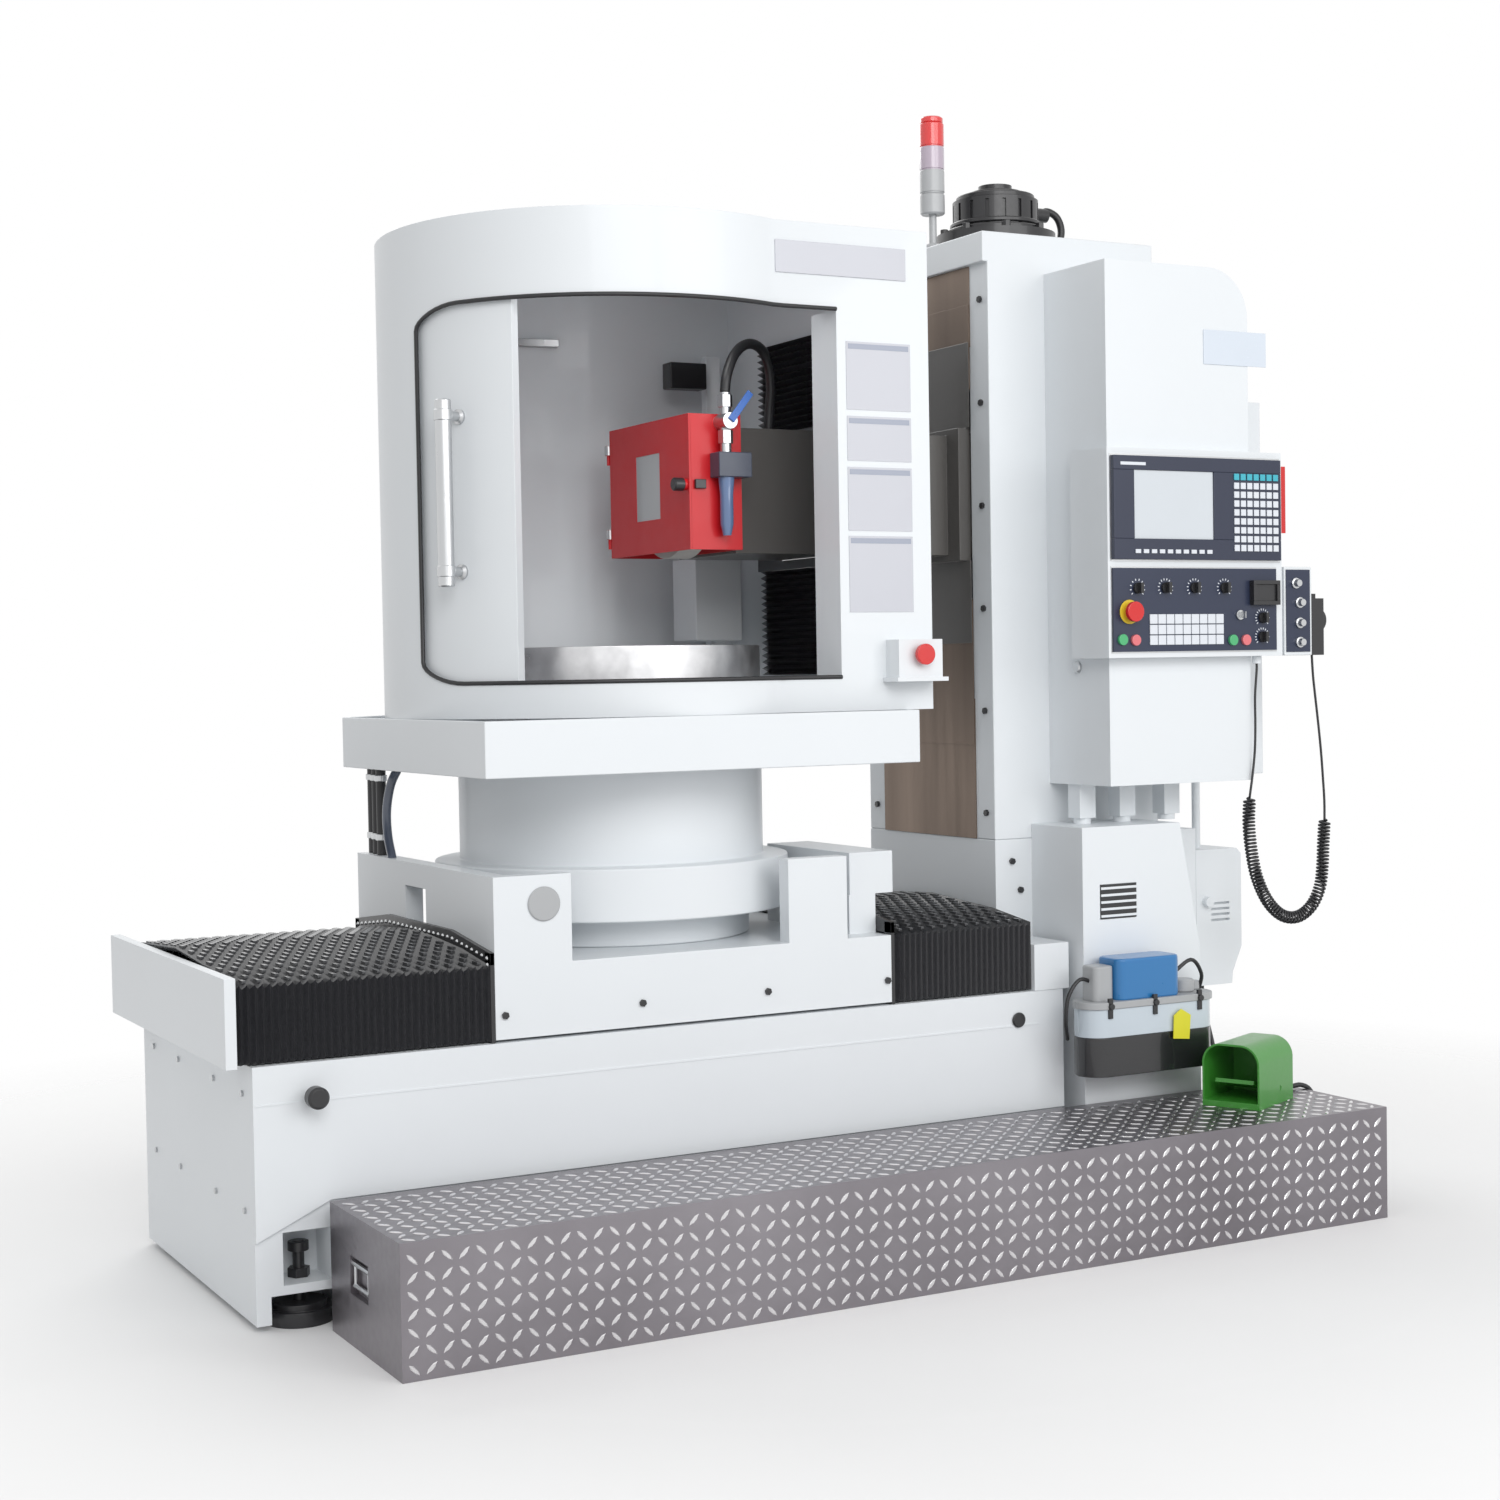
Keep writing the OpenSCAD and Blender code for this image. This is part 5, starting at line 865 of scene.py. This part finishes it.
hood_inside = Shape("hood_lamp_housing").box((1150, 592, 1166), (1261, 700, 1341))
hood_inside.box((1258, 735, 1130), (1294, 760, 1790)).made(white, "saddle_unit", 3)
Shape("hood_switch").box((1149, 690, 1711), (1237, 730, 1767)).made(black, "saddle_unit", 3)
DOORWAY_X0, DOORWAY_X1, DOORWAY_Z0, DOORWAY_Z1, DOORWAY_R = 423, 1146, 1086, 1777, 40


def front_at(x):
    """The hood's front skin over a place on its width: round, and flat to the right."""
    dx = x - AXIS_X
    round_y = AXIS_Y - math.sqrt(max(0, HOOD_R ** 2 - dx * dx))
    return min(round_y, FLAT_Y) if dx > 0 else round_y


def doorway_line():
    """The doorway's edge, from its lower right corner round to its upper right one."""
    x, low, high, r = DOORWAY_X0 + DOORWAY_R, DOORWAY_Z0 + DOORWAY_R, DOORWAY_Z1 - DOORWAY_R, DOORWAY_R
    wide = DOORWAY_X1 - x
    bends = [math.pi / 2 * k / 8 for k in range(9)]
    line = [(DOORWAY_X1 - wide * k / 30, DOORWAY_Z0) for k in range(30)]
    line += [(x - r * math.sin(w), low - r * math.cos(w)) for w in bends]
    line += [(x - r * math.cos(w), high + r * math.sin(w)) for w in bends]
    return line + [(x + wide * k / 30, DOORWAY_Z1) for k in range(1, 31)]


Shape("doorway_seal").sweep([Vector((x, front_at(x) - 0.5, z)) for x, z in doorway_line()], 4, 8).made(
    black_rubber, "saddle_unit", smooth=60)


# Door. A white sheet rolled round the table's axis, its two edges returned, that
# slides in the hood's rails. A steel tube handle stands on it on two feet.
DOOR_OUT_R, DOOR_IN_R, LIP_R, DOOR_FROM, DOOR_TO, LIP = 430, 424, 402, 101, 223, 0.7
DOOR_Z0, DOOR_Z1 = 1062, 1801
HANDLE_AT, HANDLE_R, FOOT_R = 207.5, 474, 429


def round_at(r, degrees):
    """A place in plan on a circle round the table's axis."""
    w = math.radians(degrees)
    return AXIS_X + r * math.cos(w), AXIS_Y + r * math.sin(w)


def arc(r, w0, w1, n=48):
    return [round_at(r, w0 + (w1 - w0) * k / n) for k in range(n + 1)]


door_plan = arc(DOOR_OUT_R, DOOR_FROM, DOOR_TO) + [round_at(LIP_R, DOOR_TO), round_at(LIP_R, DOOR_TO - LIP)]
door_plan += arc(DOOR_IN_R, DOOR_TO - LIP, DOOR_FROM + LIP)
door_plan += [round_at(LIP_R, DOOR_FROM + LIP), round_at(LIP_R, DOOR_FROM)]
Shape("door_sheet").prism(door_plan, "z", DOOR_Z0, DOOR_Z1).made(white, "door", 0.8, replaces="door")
hx, hy = round_at(HANDLE_R, HANDLE_AT)
fx, fy = round_at(FOOT_R, HANDLE_AT)
grip = Shape("door_handle").rod((hx, hy, 1262), (hx, hy, 1600), 15, chamfer=2)
for z in (1290, 1572):
    grip.turned((fx, fy, z), (hx, hy, z), [(0, 14), (0.12, 14), (0.2, 9), (1, 9)], 24)
    grip.rod((hx, hy, z - 10), (hx, hy, z + 10), 17, chamfer=1)
grip.made(steel, "door")


# Seal frame and its folds. A grey plate round the spindle housing, with black
# folded cloth above and below it that closes the slot in the hood.
grey_paint = plain_finish("grey_enamel", "seal_paint", (0.10, 0.105, 0.11), 0.4)
dressed("head_seal", grey_paint, 0.8)
SEAL_X, FOLD_Y0, FOLD_Y1, FOLD_OUT, FOLD_SHEET = 1320, 165, 615, 14, 1.5


def panel_folds(name, z0, z1, fixed_z, moving_z):
    """Folded cloth between the hood's edge and the plate."""
    count = max(2, round((z1 - z0) / FOLD_OUT))
    rings = []
    for i in range(count * 2 + 1):
        x, z = SEAL_X + (0, FOLD_OUT)[i % 2], z0 + (z1 - z0) * i / (count * 2)
        rings.append([(x, FOLD_Y0, z), (x + FOLD_SHEET, FOLD_Y0, z), (x + FOLD_SHEET, FOLD_Y1, z),
                      (x, FOLD_Y1, z)])
    piece = Shape(name).rings(rings).made(pleat_black, None, replaces="head_bellows", smooth=15)
    at(SEAL_X, 390, fixed_z)
    at(SEAL_X, 390, moving_z)
    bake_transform(piece)


panel_folds("head_folds_high", 1601, 1791, 1791, 1601)
panel_folds("head_folds_low", 1091, 1313, 1091, 1313)


# Chuck and spindle. A round steel table, ground flat and swirled by the grinding,
# on a shaft with a hub and the motor's rotor inside the rotary base.
chuck = Paint("ground_chuck", "chuck_steel", metallic=0.9)
swirl = chuck.noise(35, 4)
chuck.set(base_color=chuck.mix(swirl, (0.52, 0.52, 0.53), (0.82, 0.82, 0.83)),
          roughness=(swirl * 0.3 + 0.2).clamp())
chuck.bump(swirl, 0.1)
dressed("chuck", chuck, 1.2)
dressed("table_spindle", steel, 1)


# Wheelhead. A grey-beige casting, coloured very dark as painted shade for the hood's
# shadow it stands in, that comes in through the hood's slot and holds the spindle,
# with the white wheel clamped between two flanges on its end.
# The casting's grey-beige is darkened here into painted shade.
head_beige_painted_shade = plain_finish("head_beige_painted_shade", "head_paint", (0.10, 0.095, 0.09), 0.34, 0.1, 80, 0.04, coat_weight=0.2)
dressed("wheelhead", head_beige_painted_shade, 2)
dressed("wheel_spindle", steel, 1)
grit = plain_finish("wheel_grit", "wheel_grit", (0.60, 0.59, 0.56), 0.85, 0.08, 700, 0.5)
dressed("grinding_wheel", grit, 1.5)


# Wheel guard. Welded red sheet steel round the wheel, with a door on two steel
# hinges that has a grey window and is held shut by a black knob and its catch.
guard_red = plain_finish("guard_red", "guard_red", (0.56, 0.004, 0.010), 0.42, 0.03, 30, 0.01,
                         coat_weight=0.1)
dressed("wheel_guard", guard_red, 1.5)
dressed("guard_door", guard_red, 1)
LATCH_Y, LATCH_Z, HINGE_X, HINGE_Y = 225, 1462.8, 946, 577
Shape("guard_knob").rod((918, LATCH_Y, LATCH_Z), (940, LATCH_Y, LATCH_Z), 13, chamfer=2).made(
    black, "guard_door")
Shape("guard_clamp").box((956, 202, 1454), (979, 209.6, 1472)).made(black, "head", 1.5)
hinge_sleeves = Shape("guard_hinge_sleeves")
for z in (1376.3, 1549.2):
    hinge_sleeves.rod((HINGE_X, HINGE_Y, z + 0.6), (HINGE_X, HINGE_Y, z + 19.6), 7.6)
hinge_sleeves.made(steel, "guard_door")
window_sheet = plain_finish("window_sheet", "guard_red", (0.42, 0.43, 0.44), 0.12, coat_weight=0.8)
Shape("guard_window").box((946.7, 339, 1404), (948.7, 447, 1534)).made(window_sheet, "guard_door")


# Coolant fittings. A steel pipe comes down through a ball valve into a block on
# the wheelhead, with a wrapped nozzle under it and a black hose over the top.
block_grey = plain_finish("block_grey", "fitting_chrome", (0.05, 0.06, 0.09), 0.3)
wrap_blue = plain_finish("wrap_blue", "fitting_chrome", (0.10, 0.16, 0.30), 0.18, 0.6, 40, coat_weight=0.8)
PIPE_X, PIPE_Y, BLOCK_Z0, BLOCK_Z1 = 1016, 190, 1475, 1523


def pipe_at(z):
    """The pipe's axis at a height."""
    return PIPE_X, PIPE_Y, z


Shape("coolant_block").box((991, 170, BLOCK_Z0), (1063, 210, BLOCK_Z1)).made(
    block_grey, "head", 2, replaces="coolant_manifold")
pipe = Shape("coolant_pipe").rod(pipe_at(BLOCK_Z1), pipe_at(1639), 11)
pipe.rod(pipe_at(1540), pipe_at(1566), 15, 6).rod(pipe_at(1610), pipe_at(1634), 15, 6)
pipe.rod((PIPE_X, 168, 1583), (PIPE_X, 212, 1583), 16).made(steel, "head", 0.8)
NOZZLE = [(0, 16), (0.3, 13), (0.8, 13), (1, 8)]
Shape("coolant_nozzle").turned(pipe_at(BLOCK_Z0), pipe_at(1363), NOZZLE).made(wrap_blue, "head")
HOSE = [pipe_at(1640), (1022, 192, 1672), (1040, 200, 1708), (1066, 212, 1732), (1098, 226, 1741),
        (1130, 242, 1730), (1152, 258, 1700), (1163, 272, 1662), (1166, 284, 1622), (1166, 290, 1582)]
Shape("coolant_hose").sweep(smooth_line(HOSE, 6), 10, 16).made(black_rubber, "head", smooth=70)
lever_blue = plain_finish("lever_blue", "lever_blue", (0.02, 0.12, 0.45), 0.3)
dressed("valve_lever", lever_blue, 0.8)


# Light and floor. A white room with soft lamps to the left, in front and behind,
# and a pale floor that fades out, so that the background stays plain white.
def lamp(name, place, aim, size, power):
    light = bpy.data.lights.new(name, "AREA")
    light.shape, light.size, light.size_y, light.energy = "RECTANGLE", size[0], size[1], power
    holder = bpy.data.objects.new(name, light)
    holder.location = place
    holder.rotation_euler = (Vector(aim) - Vector(place)).to_track_quat("-Z", "Y").to_euler()
    scene.collection.objects.link(holder)


lamp("lamp_key", (-0.7, -5.4, 4.0), (0.9, 0.2, 0.9), (3.4, 3.0), 148)
lamp("lamp_front", (2.6, -4.6, 2.4), (1.2, 0.0, 0.9), (3.0, 2.4), 70)
lamp("lamp_back", (1.2, 3.6, 3.8), (0.9, 0.3, 1.2), (3.0, 2.0), 60)
lamp("lamp_hood", (0.72, 0.10, 1.92), (0.74, 0.40, 1.2), (0.30, 0.30), 1.5)
ROOM_LIGHT = 0.58
world = bpy.data.worlds.new("room")
scene.world = world
world.use_nodes = True
room = Wiring(world.node_tree)
sky = room.tree.nodes["Background"]
room.put(sky.inputs["Color"], (1, 1, 1))
seen = room.node("ShaderNodeMath", {"operation": "MAXIMUM"}, [
    room.node("ShaderNodeLightPath", out="Is Camera Ray"),
    room.node("ShaderNodeLightPath", out="Is Glossy Ray")])
room.put(sky.inputs["Strength"], seen * (1 - ROOM_LIGHT) + ROOM_LIGHT)

FLOOR_HALF, FLOOR_MIDDLE, FADE_FROM, FADE_TO = 30, (1.1, 0.2, 0), 1.3, 3.0
floor_mesh = bpy.data.meshes.new("floor")
floor_mesh.from_pydata([(x * FLOOR_HALF, y * FLOOR_HALF, 0) for x, y in ((-1, -1), (1, -1), (1, 1), (-1, 1))],
                       [], [(0, 1, 2, 3)])
floor = bpy.data.objects.new("floor", floor_mesh)
floor_paint = plain_finish("floor_paint", "white_paint", (0.90, 0.90, 0.90), 0.7, 0.01)
fade = floor_paint.node("ShaderNodeVectorMath", {"operation": "DISTANCE"},
                        [floor_paint.place(), FLOOR_MIDDLE], out=1)
floor_paint.set(alpha=((FADE_TO - fade) / (FADE_TO - FADE_FROM)).clamp())
floor_mesh.materials.append(floor_paint.material)
scene.collection.objects.link(floor)

bpy.context.view_layer.update()
